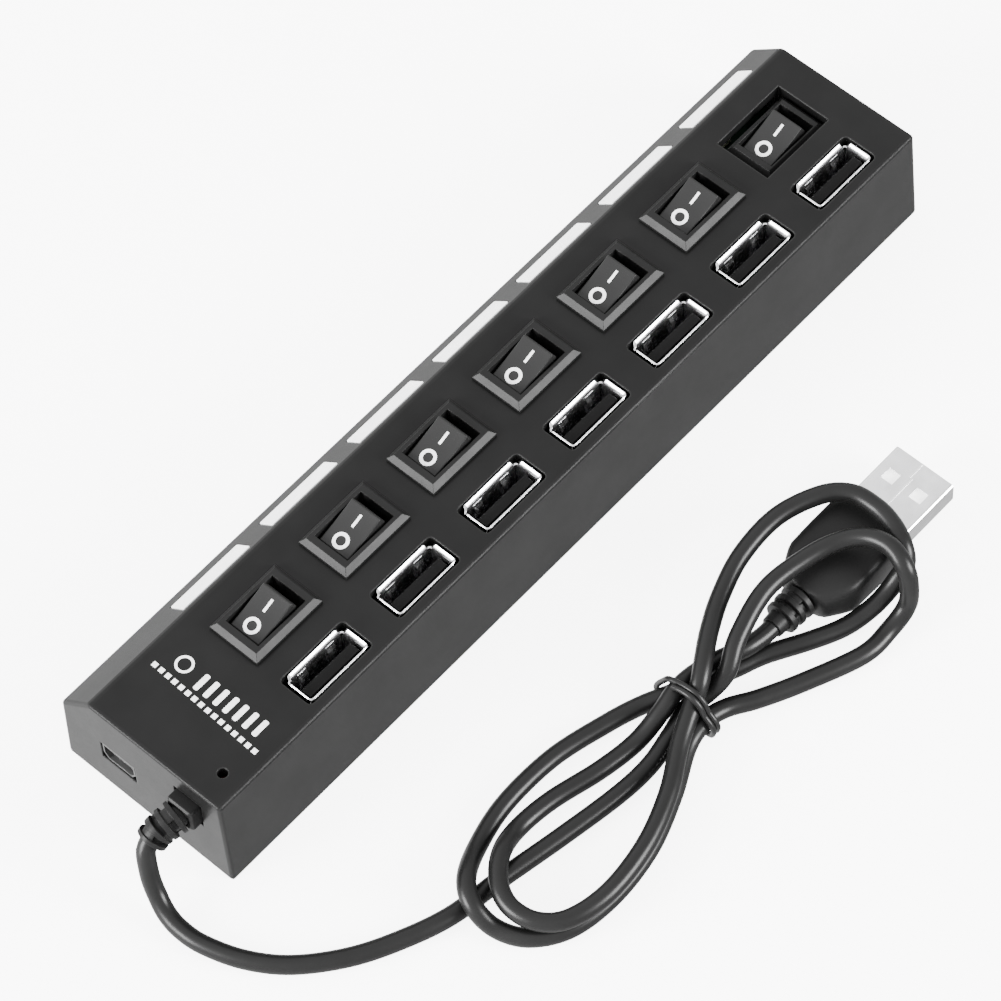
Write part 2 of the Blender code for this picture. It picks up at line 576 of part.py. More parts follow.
def make_power_socket():
    start = -LENGTH / 2 + 0.8 * MM
    outline = [(-3.5 * MM, 1.95 * MM), (-3.5 * MM, -0.6 * MM), (-2.6 * MM, -1.95 * MM),
               (2.6 * MM, -1.95 * MM), (3.5 * MM, -0.6 * MM), (3.5 * MM, 1.95 * MM)]
    sheet = 0.35 * MM
    inner = [(u * (1 - sheet / (SOCKET_SHELL[0] / 2)), v * (1 - sheet / (SOCKET_SHELL[1] / 2)))
             for u, v in outline]
    place = Matrix.Translation((start + SOCKET_DEPTH / 2, SOCKET_Y, SOCKET_Z)) @ ALONG_X
    shell = extrusion("power_socket_shell", outline, SOCKET_DEPTH / 2, place, STEEL)
    combine(shell, extrusion("power_socket_space", inner, SOCKET_DEPTH, place, cutter=True))
    back = start + SOCKET_DEPTH
    tongue = box("power_socket_tongue", (back - 2.5 * MM, SOCKET_Y - 2.4 * MM, SOCKET_Z - 1.2 * MM),
                 (back - 0.2 * MM, SOCKET_Y + 2.4 * MM, SOCKET_Z + 1.2 * MM), INSULATOR_BLACK)
    blade = box("power_socket_blade", (start + 1.2 * MM, SOCKET_Y - 1.9 * MM, SOCKET_Z - 0.2 * MM),
                (back - 2.0 * MM, SOCKET_Y + 1.9 * MM, SOCKET_Z + 0.5 * MM), cutter=True)
    combine(tongue, blade, "UNION")


# --- light guides and switches ------------------------------------------------------
def make_light_guide(number, x):
    length = WINDOW[0] - 2 * GUIDE_GAP
    width = WINDOW[1] - 2 * GUIDE_GAP
    lip_top = WALL + GAP
    depth = (lip_top + GUIDE_LIP - GUIDE_PROUD) / 2
    guide = extrusion(f"light_guide_{number}", rounded_rectangle(length, width, 0.2 * MM, steps=1),
                      (lip_top + GUIDE_LIP + GUIDE_PROUD) / 2, window_place(x, depth),
                      WINDOW_WHITE)
    lip = extrusion(f"light_guide_lip_{number}",
                    rounded_rectangle(length + MM, width + MM, 0.2 * MM, steps=1),
                    GUIDE_LIP / 2, window_place(x, lip_top + GUIDE_LIP / 2), cutter=True)
    combine(guide, lip, "UNION")


def bevelled_plate(name, centre_x, centre_y, size, low, high, material):
    """A rectangular plate whose sides go up and then lean in at about 45 degrees."""
    bm = bmesh.new()
    rows = []
    for inset, z in ((0.0, low), (0.0, low + FLANGE_EDGE), (FLANGE_BEVEL, high)):
        half_x, half_y = size[0] / 2 - inset, size[1] / 2 - inset
        rows.append([bm.verts.new((centre_x + side_x * half_x, centre_y + side_y * half_y, z))
                     for side_x, side_y in ((1, 1), (-1, 1), (-1, -1), (1, -1))])
    for lower, upper in zip(rows, rows[1:]):
        for k in range(4):
            after = (k + 1) % 4
            bm.faces.new((lower[k], lower[after], upper[after], upper[k]))
    bm.faces.new(reversed(rows[0]))
    bm.faces.new(rows[-1])
    mesh = bpy.data.meshes.new(name)
    bm.to_mesh(mesh)
    bm.free()
    return put(name, mesh, material)


def make_switch_frame(number, x, y, flange_size):
    top = HEIGHT + FLANGE_SEAT + FLANGE[2] - switch_drop(number - 1)
    seat = top - FLANGE[2]
    flange = bevelled_plate(f"switch_frame_{number}", x, y, flange_size, seat, top,
                            BLACK_SWITCH)
    low = (x - SWITCH_BODY[0] / 2, y - SWITCH_BODY[1] / 2, seat - SWITCH_BODY[2])
    high = (x + SWITCH_BODY[0] / 2, y + SWITCH_BODY[1] / 2, seat + FLANGE[2] / 2)
    combine(flange, box(f"switch_body_{number}", low, high, cutter=True), "UNION")
    half_x, half_y = SWITCH_CAVITY[0] / 2, SWITCH_CAVITY[1] / 2
    combine(flange, box(f"switch_cavity_{number}",
                        (x - half_x, y - half_y, low[2] + SWITCH_FLOOR),
                        (x + half_x, y + half_y, top + WALL), cutter=True))
    pivot_z = top - PIVOT_BELOW_FLANGE_TOP
    combine(flange, cylinder(f"axle_hole_{number}", AXLE_HOLE_RADIUS,
                             (x, y - 6.0 * MM, pivot_z), (x, y + 6.0 * MM, pivot_z),
                             cutter=True, sides=12))


def make_rocker(number, x, y):
    """A concave paddle on a cross axle; its origin is on the axle's centre line."""
    pivot_z = (HEIGHT + FLANGE_SEAT + FLANGE[2] - switch_drop(number - 1)
               - PIVOT_BELOW_FLANGE_TOP)
    shoulder, hip, toe = 4.55 * MM, 3.2 * MM, 1.2 * MM
    outline = [(-toe, -2.0 * MM), (toe, -2.0 * MM), (hip, -1.2 * MM), (shoulder, 1.2 * MM),
               (PADDLE_HALF_LENGTH, PADDLE_END_RISE), (0.0, PADDLE_MIDDLE_RISE),
               (-PADDLE_HALF_LENGTH, PADDLE_END_RISE), (-shoulder, 1.2 * MM),
               (-hip, -1.2 * MM)]
    place = Matrix.Translation((x, y, pivot_z)) @ Matrix.Rotation(-REST_TILT, 4, "Y")
    rocker = extrusion(f"rocker_{number}", outline, PADDLE_WIDTH / 2, place @ ALONG_Y,
                       ROCKER_BLACK)
    reach = AXLE_LENGTH / 2
    axle = cylinder(f"rocker_axle_{number}", AXLE_RADIUS, (x, y - reach, pivot_z),
                    (x, y + reach, pivot_z), cutter=True, sides=12)
    combine(rocker, axle, "UNION")


# --- cord, tie, plug and strain relief ----------------------------------------------
def tapered_tube(name, points, start_radius, end_radius):
    """A closed cutter or joining piece along points, thinner towards its end."""
    curve = bpy.data.curves.new(name, "CURVE")
    curve.dimensions = "3D"
    curve.bevel_depth = start_radius
    curve.bevel_resolution = 6
    curve.use_fill_caps = True
    spline = curve.splines.new("POLY")
    spline.points.add(len(points) - 1)
    for k, (point, place) in enumerate(zip(spline.points, points)):
        point.co = (*place, 1.0)
        share = k / (len(points) - 1)
        point.radius = 1.0 + share * (end_radius / start_radius - 1.0)
    return to_mesh_object(bpy.data.objects.new(name, curve), cutter=True)


def make_strain_relief():
    outside = -LENGTH / 2
    half_neck = RELIEF_HOLE / 2 - GAP
    relief = box("strain_relief",
                 (outside - 1.5 * MM, RELIEF_Y - half_neck, RELIEF_Z - half_neck),
                 (outside + WALL + 1.0 * MM, RELIEF_Y + half_neck, RELIEF_Z + half_neck),
                 PVC_BLACK)
    inner_half = 3.9 * MM
    combine(relief, box("relief_inner_flange",
                        (outside + WALL + GAP, RELIEF_Y - inner_half, RELIEF_Z - inner_half),
                        (outside + WALL + 1.2 * MM, RELIEF_Y + inner_half, RELIEF_Z + inner_half),
                        cutter=True), "UNION")
    line = smooth_curve([Vector(point) * MM for point in RELIEF_LINE_MM], 13)
    core = tapered_tube("relief_core", line, *RELIEF_RADII)
    combine(relief, core, "UNION")
    for number, index in enumerate(RELIEF_RIB_PLACES, start=1):
        along = (line[index + 1] - line[index]).normalized() * RIB_THICKNESS / 2
        radius = RELIEF_RIB_RADIUS - 0.12 * MM * number
        rib = cylinder(f"relief_rib_{number}", radius, line[index] - along, line[index] + along,
                       cutter=True, sides=16)
        combine(relief, rib, "UNION")
    smooth(relief)


def make_cord():
    route = [Vector(point) * MM for point in CORD_ROUTE_MM]
    tube("cord", smooth_curve(route, CORD_POINTS), CORD_RADIUS, PVC_BLACK)


def make_cable_tie():
    """A wire tie that goes a little more than once round the bundle of strands."""
    loop = TIE_TURN_MM + TIE_TURN_MM[:8]
    points = []
    for k, (y, z) in enumerate(loop):
        shift = TIE_PITCH * (0.5 - k / len(TIE_TURN_MM))
        points.append(Vector((TIE_X + shift, y * MM, z * MM)))
    tube("cable_tie", smooth_curve(points, TIE_POINTS), TIE_RADIUS, TIE_BLACK, roundness=1)


def make_plug():
    width, thick = PLUG_BODY
    body_outline = [(PLUG_FRONT_X, width / 2), (PLUG_BODY_REAR_X, width / 2),
                    (PLUG_NECK_X, 4.9 * MM), (PLUG_NECK_X, -4.9 * MM),
                    (PLUG_BODY_REAR_X, -width / 2), (PLUG_FRONT_X, -width / 2)]
    body_outline.reverse()
    place = Matrix.Translation((0.0, PLUG_Y, PLUG_Z))
    body = extrusion("plug_overmould", body_outline, thick / 2, place, PVC_BLACK)
    bevel(body, 1.0 * MM, segments=2)
    tail = cylinder("plug_tail", 2.5 * MM, (PLUG_NECK_X + MM, PLUG_Y, PLUG_Z),
                    (PLUG_TAIL_X, PLUG_Y, PLUG_Z), cutter=True, sides=16, end_radius=2.1 * MM)
    combine(body, tail, "UNION")
    for number in range(1, 4):
        x = PLUG_NECK_X - (0.2 + 2.2 * number) * MM
        rib = cylinder(f"plug_rib_{number}", (3.4 - 0.2 * number) * MM,
                       (x + 0.55 * MM, PLUG_Y, PLUG_Z), (x - 0.55 * MM, PLUG_Y, PLUG_Z),
                       cutter=True, sides=16)
        combine(body, rib, "UNION")
    length, shell_y, shell_z = PLUG_SHELL
    pocket = (shell_y + 2 * GAP, shell_z + 2 * GAP)
    pocket_start = PLUG_SHELL_START_X - GAP
    pocket_half = (PLUG_FRONT_X + WALL - pocket_start) / 2
    place = Matrix.Translation((pocket_start + pocket_half, PLUG_Y, PLUG_Z)) @ ALONG_X
    combine(body, extrusion("plug_pocket", rounded_rectangle(*pocket, 0.6 * MM), pocket_half,
                            place, cutter=True))
    smooth(body)
    place = Matrix.Translation((PLUG_SHELL_START_X + length / 2, PLUG_Y, PLUG_Z)) @ ALONG_X
    shell = extrusion("plug_shell", rounded_rectangle(shell_y, shell_z, 0.6 * MM), length / 2,
                      place, STEEL)
    inside = (shell_y - 2 * PORT_SHEET, shell_z - 2 * PORT_SHEET)
    combine(shell, extrusion("plug_shell_space", rounded_rectangle(*inside, 0.3 * MM), length,
                             place, cutter=True))
    hole_half = 1.15 * MM
    hole_x = PLUG_FRONT_X + 6.6 * MM
    for side in (-1, 1):
        y = PLUG_Y + side * 2.9 * MM
        combine(shell, box(f"plug_window_{'a' if side < 0 else 'b'}",
                           (hole_x - hole_half, y - hole_half, PLUG_Z + MM),
                           (hole_x + hole_half, y + hole_half, PLUG_Z + 2 * shell_z), cutter=True))
    smooth(shell)
    half_y = inside[0] / 2 - GAP
    roof = PLUG_Z + inside[1] / 2
    box("plug_tongue", (PLUG_SHELL_START_X, PLUG_Y - half_y, roof - 0.2 * MM - 1.9 * MM),
        (PLUG_SHELL_START_X + length - 0.6 * MM, PLUG_Y + half_y, roof - 0.2 * MM),
        INSULATOR_WHITE)


# --- assembly -----------------------------------------------------------------------
make_housing()
make_base_plate()
make_board()
make_power_led()
make_power_socket()
make_strain_relief()
for screw_number, (screw_x, screw_y) in enumerate(SCREW_PLACES, start=1):
    make_screw(screw_number, screw_x, screw_y)
for unit_number, unit_x in enumerate(UNIT_X, start=1):
    make_light_guide(unit_number, unit_x)
    shift = switch_shift(unit_number - 1)
    frame_size = LOW_FLANGE if unit_number - 1 == LOW_SWITCH else FLANGE[:2]
    make_switch_frame(unit_number, unit_x + shift[0], SWITCH_Y + shift[1], frame_size)
    make_rocker(unit_number, unit_x + shift[0], SWITCH_Y + shift[1])
    make_port(unit_number, unit_x)
make_cord()
make_cable_tie()
make_plug()
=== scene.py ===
"""Looks of a seven-port USB hub bar with a rocker switch for each port and a tied-up cord.

Units are metres.  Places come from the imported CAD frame, which this script loads first.
"""
import json
import math

import bmesh
import bpy
from mathutils import Matrix, Vector


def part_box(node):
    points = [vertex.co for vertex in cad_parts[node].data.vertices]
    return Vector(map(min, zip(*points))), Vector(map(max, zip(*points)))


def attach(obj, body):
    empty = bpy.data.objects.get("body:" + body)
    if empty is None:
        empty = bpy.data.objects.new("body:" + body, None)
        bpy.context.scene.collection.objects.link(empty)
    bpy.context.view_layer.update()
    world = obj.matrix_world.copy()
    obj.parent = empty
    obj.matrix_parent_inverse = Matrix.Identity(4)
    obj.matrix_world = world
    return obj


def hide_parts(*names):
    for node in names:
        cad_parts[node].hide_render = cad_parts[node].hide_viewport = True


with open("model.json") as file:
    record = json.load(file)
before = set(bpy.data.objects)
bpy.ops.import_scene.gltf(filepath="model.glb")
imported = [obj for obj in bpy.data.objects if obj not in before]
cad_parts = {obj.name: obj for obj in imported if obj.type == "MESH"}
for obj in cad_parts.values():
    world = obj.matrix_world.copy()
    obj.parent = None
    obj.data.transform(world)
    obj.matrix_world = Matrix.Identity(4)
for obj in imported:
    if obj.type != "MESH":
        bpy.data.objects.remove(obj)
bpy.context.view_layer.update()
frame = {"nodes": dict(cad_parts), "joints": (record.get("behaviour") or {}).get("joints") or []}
nodes = frame["nodes"]

MM = 0.001
UNITS = range(1, 8)                         # each has a socket, a switch and a window
SCREWS = range(1, 5)
HUB = "hub"
WHITE = (1.0, 1.0, 1.0, 1.0)

# --- places taken from the frame ----------------------------------------------------
case_low, case_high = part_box("housing")
CASE_TOP = case_high.z
RELIEF_FACE_X = case_low.x + 0.34 * MM      # the drafted end face at the strain relief


def middle(node):
    low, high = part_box(node)
    return (low + high) / 2


def pivot_of(number):
    for joint in frame["joints"]:
        if joint["child"] == f"rocker_{number}":
            return Vector(joint["pos_m"])
    raise ValueError(f"rocker {number} has no joint")


# --- camera -------------------------------------------------------------------------
CAMERA_LENS_MM = 174.74
CAMERA_SENSOR_MM = 36.0
CAMERA_PLACE = (-0.2967, -0.3073, 0.6764)
CAMERA_TURN_DEGREES = (31.859, 2.592, -47.994)


def make_camera():
    camera_data = bpy.data.cameras.new("camera")
    camera_data.lens = CAMERA_LENS_MM
    camera_data.sensor_width = CAMERA_SENSOR_MM
    camera_data.clip_start = 0.05
    camera_data.clip_end = 20.0
    camera = bpy.data.objects.new("camera", camera_data)
    camera.location = CAMERA_PLACE
    camera.rotation_euler = [math.radians(angle) for angle in CAMERA_TURN_DEGREES]
    bpy.context.scene.collection.objects.link(camera)
    bpy.context.scene.camera = camera


# --- materials ----------------------------------------------------------------------
class Shading:
    """A Principled material and short ways to add nodes to it."""

    def __init__(self, name, colour, roughness, metallic=0.0, specular=0.5):
        self.material = bpy.data.materials.new(name)
        self.material.use_nodes = True
        self.tree = self.material.node_tree
        self.shader = self.tree.nodes["Principled BSDF"]
        self.shader.inputs["Base Color"].default_value = (*colour, 1.0)
        self.shader.inputs["Roughness"].default_value = roughness
        self.shader.inputs["Metallic"].default_value = metallic
        self.shader.inputs["Specular IOR Level"].default_value = specular
        self.place = self.tree.nodes.new("ShaderNodeTexCoord").outputs["Object"]

    def node(self, kind, inputs=None, **settings):
        made = self.tree.nodes.new(kind)
        for key, value in settings.items():
            setattr(made, key, value)
        for key, value in (inputs or {}).items():
            if isinstance(value, bpy.types.NodeSocket):
                self.tree.links.new(value, made.inputs[key])
            else:
                made.inputs[key].default_value = value
        return made

    def feed(self, socket, output):
        self.tree.links.new(output, self.shader.inputs[socket])

    def glow(self, strength):
        """Light of its own, white and even all over."""
        self.shader.inputs["Emission Color"].default_value = WHITE
        self.shader.inputs["Emission Strength"].default_value = strength

    def noise(self, size, detail=3.0, roughness=0.5, place=None):
        """Grey noise whose features are about size metres across."""
        settings = {"Vector": place or self.place, "Scale": 1.0 / size, "Detail": detail,
                    "Roughness": roughness}
        return self.node("ShaderNodeTexNoise", settings).outputs["Fac"]

    def spread(self, value, low, high, from_low=0.3, from_high=0.7):
        settings = {"Value": value, "From Min": from_low, "From Max": from_high,
                    "To Min": low, "To Max": high}
        return self.node("ShaderNodeMapRange", settings).outputs["Result"]

    def mix(self, factor, first, second):
        made = self.node("ShaderNodeMix", data_type="RGBA")
        for socket, value in ((0, factor), (6, first), (7, second)):
            if isinstance(value, bpy.types.NodeSocket):
                self.tree.links.new(value, made.inputs[socket])
            elif socket == 0:
                made.inputs[socket].default_value = value
            else:
                made.inputs[socket].default_value = (*value, 1.0)
        return made.outputs[2]

    def bump(self, height, distance, strength=1.0, normal=None):
        settings = {"Height": height, "Distance": distance, "Strength": strength}
        if normal:
            settings["Normal"] = normal
        return self.node("ShaderNodeBump", settings).outputs["Normal"]

    def rounded(self, radius):
        """Normals that round every edge off by radius."""
        return self.node("ShaderNodeBevel", {"Radius": radius}, samples=6).outputs["Normal"]

    def edges(self, radius, sharpness=0.12):
        """1 on an edge, 0 on a flat."""
        flat = self.node("ShaderNodeNewGeometry").outputs["Normal"]
        both = {0: self.rounded(radius), 1: flat}
        agreement = self.node("ShaderNodeVectorMath", both, operation="DOT_PRODUCT")
        return self.spread(agreement.outputs["Value"], 1.0, 0.0, 1.0 - sharpness, 1.0)


def tint(colour, factor):
    return tuple(min(1.0, channel * factor) for channel in colour)


def moulded_plastic(name, colour, roughness, grain=0.12 * MM, grain_depth=0.01 * MM,
                    edge_radius=0.12 * MM, edge_highlight_tint=1.6, specular=0.12):
    """Spark-textured plastic: fine grain, faint mottling, and a painted highlight that lightens
    every edge.
    """
    look = Shading(name, colour, roughness, specular=specular)
    mottle = look.spread(look.noise(9.0 * MM, detail=4.0), 0.0, 1.0)
    body = look.mix(mottle, tint(colour, 0.86), tint(colour, 1.14))
    edge = look.edges(edge_radius)
    # Painted highlight: every edge is lightened, as where the rounded edges catch the lights.
    look.feed("Base Color", look.mix(edge, body, tint(colour, edge_highlight_tint)))
    patches = look.noise(3.0 * MM, detail=5.0, roughness=0.65)
    look.feed("Roughness", look.spread(patches, roughness - 0.02, roughness + 0.03))
    rounded = look.rounded(edge_radius)
    fine = look.noise(grain, detail=2.0, roughness=0.6)
    look.feed("Normal", look.bump(fine, grain_depth, normal=rounded))
    return look


def plated_metal(name, colour, roughness, scratch_axis):
    """Nickel-plated sheet: drawing lines along one axis and faint stains."""
    look = Shading(name, colour, roughness, metallic=1.0)
    scale = Vector((1.0, 1.0, 1.0))
    scale[scratch_axis] = 0.06
    stretched = look.node("ShaderNodeMapping", {"Vector": look.place, "Scale": scale})
    lines = look.noise(0.12 * MM, detail=4.0, roughness=0.7, place=stretched.outputs["Vector"])
    stain = look.spread(look.noise(2.5 * MM, detail=4.0), 0.0, 1.0)
    look.feed("Base Color", look.mix(stain, tint(colour, 0.9), tint(colour, 1.08)))
    look.feed("Roughness", look.spread(lines, roughness * 0.7, roughness * 1.4))
    look.feed("Normal", look.bump(lines, 0.002 * MM, normal=look.rounded(0.05 * MM)))
    return look


CASE_BLACK = (0.0067, 0.0067, 0.0067)
# Strengths of painted glows that brighten parts which are no lamps.
WINDOW_PAINTED_GLOW = 0.8
PRINT_PAINTED_GLOW = 0.4
PLUG_INSULATOR_PAINTED_GLOW = 2.0

case_look = moulded_plastic("case_black_abs", CASE_BLACK, 0.3, edge_radius=0.4 * MM,
                            edge_highlight_tint=3.0)
base_look = moulded_plastic("base_black_abs", CASE_BLACK, 0.5, grain=0.3 * MM,
                            grain_depth=0.03 * MM)
frame_look = moulded_plastic("switch_frame_black", (0.0085, 0.0085, 0.0085), 0.36,
                             grain=0.2 * MM, grain_depth=0.004 * MM, edge_radius=0.15 * MM)
rocker_look = moulded_plastic("rocker_black", (0.011, 0.011, 0.011), 0.4, specular=0.22,
                              grain=0.15 * MM, grain_depth=0.004 * MM, edge_radius=0.1 * MM)
tongue_look = moulded_plastic("socket_insulator", (0.003, 0.003, 0.003), 0.5, specular=0.1,
                              edge_radius=0.1 * MM, edge_highlight_tint=4.0)
white_tongue_look = moulded_plastic("plug_insulator", (0.85, 0.85, 0.84), 0.45, edge_highlight_tint=1.05)
# Painted glow: the plug's white insulator is brightened by light of its own.
white_tongue_look.glow(PLUG_INSULATOR_PAINTED_GLOW)
cord_look = moulded_plastic("cord_pvc", (0.006, 0.006, 0.006), 0.33, grain=0.25 * MM,
                            grain_depth=0.008 * MM, specular=0.22)
plug_look = moulded_plastic("plug_pvc", (0.0072, 0.0072, 0.0072), 0.42, grain=0.3 * MM,
                            grain_depth=0.02 * MM, specular=0.14)
tie_look = moulded_plastic("tie_pvc", (0.007, 0.007, 0.007), 0.34, grain=0.2 * MM,
                           specular=0.25)
chip_look = moulded_plastic("chip_epoxy", (0.012, 0.012, 0.013), 0.6)
led_look = moulded_plastic("indicator_epoxy", (0.7, 0.7, 0.55), 0.3)
shell_look = plated_metal("socket_nickel", (0.86, 0.86, 0.87), 0.22, scratch_axis=0)
plug_shell_look = plated_metal("plug_nickel", (0.9, 0.9, 0.91), 0.26, scratch_axis=0)
seam_look = plated_metal("plug_joint", (0.96, 0.96, 0.97), 0.45, scratch_axis=0)
can_look = plated_metal("can_nickel", (0.7, 0.7, 0.7), 0.3, scratch_axis=1)
screw_look = plated_metal("screw_blackened", (0.12, 0.12, 0.125), 0.35, scratch_axis=1)
gold_look = plated_metal("contact_gold", (0.83, 0.62, 0.28), 0.25, scratch_axis=2)
tinned_look = plated_metal("contact_tinned", (0.5, 0.5, 0.5), 0.3, scratch_axis=2)
dull_look = plated_metal("power_socket_dull", (0.16, 0.16, 0.16), 0.45, scratch_axis=1)


def make_window_look():
    """Milky, faintly clouded acrylic, brightened by a little painted glow."""
    look = Shading("window_milky", (0.86, 0.87, 0.88), 0.28)
    cloud = look.spread(look.noise(4.0 * MM, detail=4.0), 0.0, 1.0)
    look.feed("Base Color", look.mix(cloud, (0.8, 0.81, 0.82), (0.92, 0.92, 0.92)))
    look.shader.inputs["Subsurface Weight"].default_value = 0.35
    look.shader.inputs["Subsurface Radius"].default_value = (0.002, 0.002, 0.002)
    look.shader.inputs["Coat Weight"].default_value = 0.3
    # Painted glow: light of its own that lifts the windows' brightness.
    look.glow(WINDOW_PAINTED_GLOW)
    ripple = look.noise(1.2 * MM, detail=2.0)
    look.feed("Normal", look.bump(ripple, 0.006 * MM, normal=look.rounded(0.15 * MM)))
    return look


def make_led_look():
    """Red epoxy that looks almost black while the light is off."""
    look = Shading("power_led_red", (0.03, 0.003, 0.003), 0.12, specular=0.2)
    depth = look.spread(look.noise(0.8 * MM), 0.0, 1.0)
    look.feed("Base Color", look.mix(depth, (0.02, 0.002, 0.002), (0.04, 0.005, 0.005)))
    return look


def make_print_look():
    """White pad print with slightly thin patches."""
    look = Shading("white_print", (0.75, 0.75, 0.75), 0.55)
    wear = look.spread(look.noise(0.35 * MM, detail=4.0), 0.0, 1.0, 0.35, 0.5)
    look.feed("Base Color", look.mix(wear, (0.7, 0.7, 0.7), (0.92, 0.92, 0.92)))
    # Painted glow: light of its own that keeps the print and the rocker marks bright.
    look.glow(PRINT_PAINTED_GLOW)
    return look


def make_board_look():
    """Green-black solder mask with tracks showing through, darker than real: painted shade for the
    case's dark inside, seen through the gaps.
    """
    look = Shading("board_green", (0.001, 0.006, 0.003), 0.5, specular=0.1)
    cells = look.node("ShaderNodeTexVoronoi", {"Vector": look.place, "Scale": 260.0},
                      distance="MANHATTAN", feature="F1")
    tracks = look.spread(cells.outputs["Distance"], 0.0, 1.0, 0.42, 0.46)
    look.feed("Base Color", look.mix(tracks, (0.001, 0.006, 0.003), (0.003, 0.015, 0.007)))
    look.feed("Normal", look.bump(tracks, 0.03 * MM))
    return look


window_look = make_window_look()
power_led_look = make_led_look()
print_look = make_print_look()
board_look = make_board_look()


def dress(node, look, sharp_angle=35.0):
    """Give a CAD node its look, smooth where it is round."""
    node_object = nodes[node]
    node_object.data.materials.clear()
    node_object.data.materials.append(look.material)
    node_object.data.shade_smooth()
    node_object.data.set_sharp_from_angle(angle=math.radians(sharp_angle))
    even = node_object.modifiers.new("even_flats", "WEIGHTED_NORMAL")
    even.keep_sharp = True


# --- mesh helpers -------------------------------------------------------------------
def add_piece(name, source, look, body=HUB):
    """Link a new bmesh, or a mesh that is used again, as a piece that rides on a body."""
    if isinstance(source, bmesh.types.BMesh):
        mesh = bpy.data.meshes.new(name)
        bmesh.ops.recalc_face_normals(source, faces=source.faces)
        source.to_mesh(mesh)
        source.free()
        mesh.materials.append(look.material)
        mesh.shade_smooth()
        mesh.set_sharp_from_angle(angle=math.radians(32.0))
    else:
        mesh = source
    piece = bpy.data.objects.new(name, mesh)
    bpy.context.scene.collection.objects.link(piece)
    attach(piece, body)
    return piece


def round_edges(piece, width, segments=3, angle=32.0):
    modifier = piece.modifiers.new("round_edges", "BEVEL")
    modifier.width = width
    modifier.segments = segments
    modifier.limit_method = "ANGLE"
    modifier.angle_limit = math.radians(angle)
    modifier.harden_normals = True


def loft(bm, rings, ends=True, closed=False):
    """Skin a row of equal rings of points; closed joins the last ring to the first."""
    rows = [[bm.verts.new(point) for point in ring] for ring in rings]
    pairs = list(zip(rows, rows[1:]))
    if closed:
        pairs.append((rows[-1], rows[0]))
    for first, second in pairs:
        for k in range(len(first)):
            after = (k + 1) % len(first)
            bm.faces.new((first[k], first[after], second[after], second[k]))
    if ends and not closed:
        bm.faces.new(reversed(rows[0]))
        bm.faces.new(rows[-1])
    return rows


def add_block(bm, low, high):
    low, high = Vector(low), Vector(high)
    made = bmesh.ops.create_cube(bm, size=1.0)["verts"]
    bmesh.ops.scale(bm, vec=high - low, verts=made)
    bmesh.ops.translate(bm, vec=(low + high) / 2, verts=made)


def rounded_rectangle(width, height, radius, steps=6):
    """Counter-clockwise outline round the centre, starting on the +X side."""
    outline = []
    for side_x, side_y, turn in ((1, 1, 0.0), (-1, 1, 0.5), (-1, -1, 1.0), (1, -1, 1.5)):
        centre = Vector((side_x * (width / 2 - radius), side_y * (height / 2 - radius)))
        for k in range(steps + 1):
            angle = math.pi * (turn + 0.5 * k / steps)
            outline.append(centre + radius * Vector((math.cos(angle), math.sin(angle))))
    return outline


def smooth_curve(points, samples):
    """Evenly spaced points on a Catmull-Rom curve through the given points."""
    padded = [2 * points[0] - points[1], *points, 2 * points[-1] - points[-2]]
    dense = []
    steps_per_span = 20
    for a, b, c, d in zip(padded, padded[1:], padded[2:], padded[3:]):
        for k in range(steps_per_span):
            t = k / steps_per_span
            linear = (c - a) * t
            quadratic = (2 * a - 5 * b + 4 * c - d) * t ** 2
            cubic = (3 * b - a - 3 * c + d) * t ** 3
            dense.append(0.5 * (2 * b + linear + quadratic + cubic))
    dense.append(points[-1])
    lengths = [0.0]
    for first, second in zip(dense, dense[1:]):
        lengths.append(lengths[-1] + (second - first).length)
    result = []
    index = 0
    for k in range(samples):
        goal = lengths[-1] * k / (samples - 1)
        while index < len(dense) - 2 and lengths[index + 1] < goal:
            index += 1
        span = lengths[index + 1] - lengths[index]
        result.append(dense[index].lerp(dense[index + 1], (goal - lengths[index]) / span))
    return result


def line_through(places_mm, samples):
    return smooth_curve([Vector(place) * MM for place in places_mm], samples)


def line_length(line):
    return sum((b - a).length for a, b in zip(line, line[1:]))


def wire(name, points, radius, look, roundness=6):
    """A round wire or cord with filled ends along a line of points."""
    curve = bpy.data.curves.new(name, "CURVE")
    curve.dimensions = "3D"
    curve.bevel_depth = radius
    curve.bevel_resolution = roundness
    curve.use_fill_caps = True
    spline = curve.splines.new("POLY")
    spline.points.add(len(points) - 1)
    for point, place in zip(spline.points, points):
        point.co = (*place, 1.0)
    spline.use_smooth = True
    curve.materials.append(look.material)
    piece = bpy.data.objects.new(name, curve)
    bpy.context.scene.collection.objects.link(piece)
    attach(piece, HUB)
    return piece


# --- cord and what is on it ---------------------------------------------------------
CORD_DIAMETER = 3.2 * MM
TIE_RADIUS = 0.5 * MM
TIE_X_MM = -15.3
TIE_PITCH_MM = 1.0                          # sideways step from one turn to the next
TIE_SECOND_TURN = 8                         # points of the turn that it goes round again

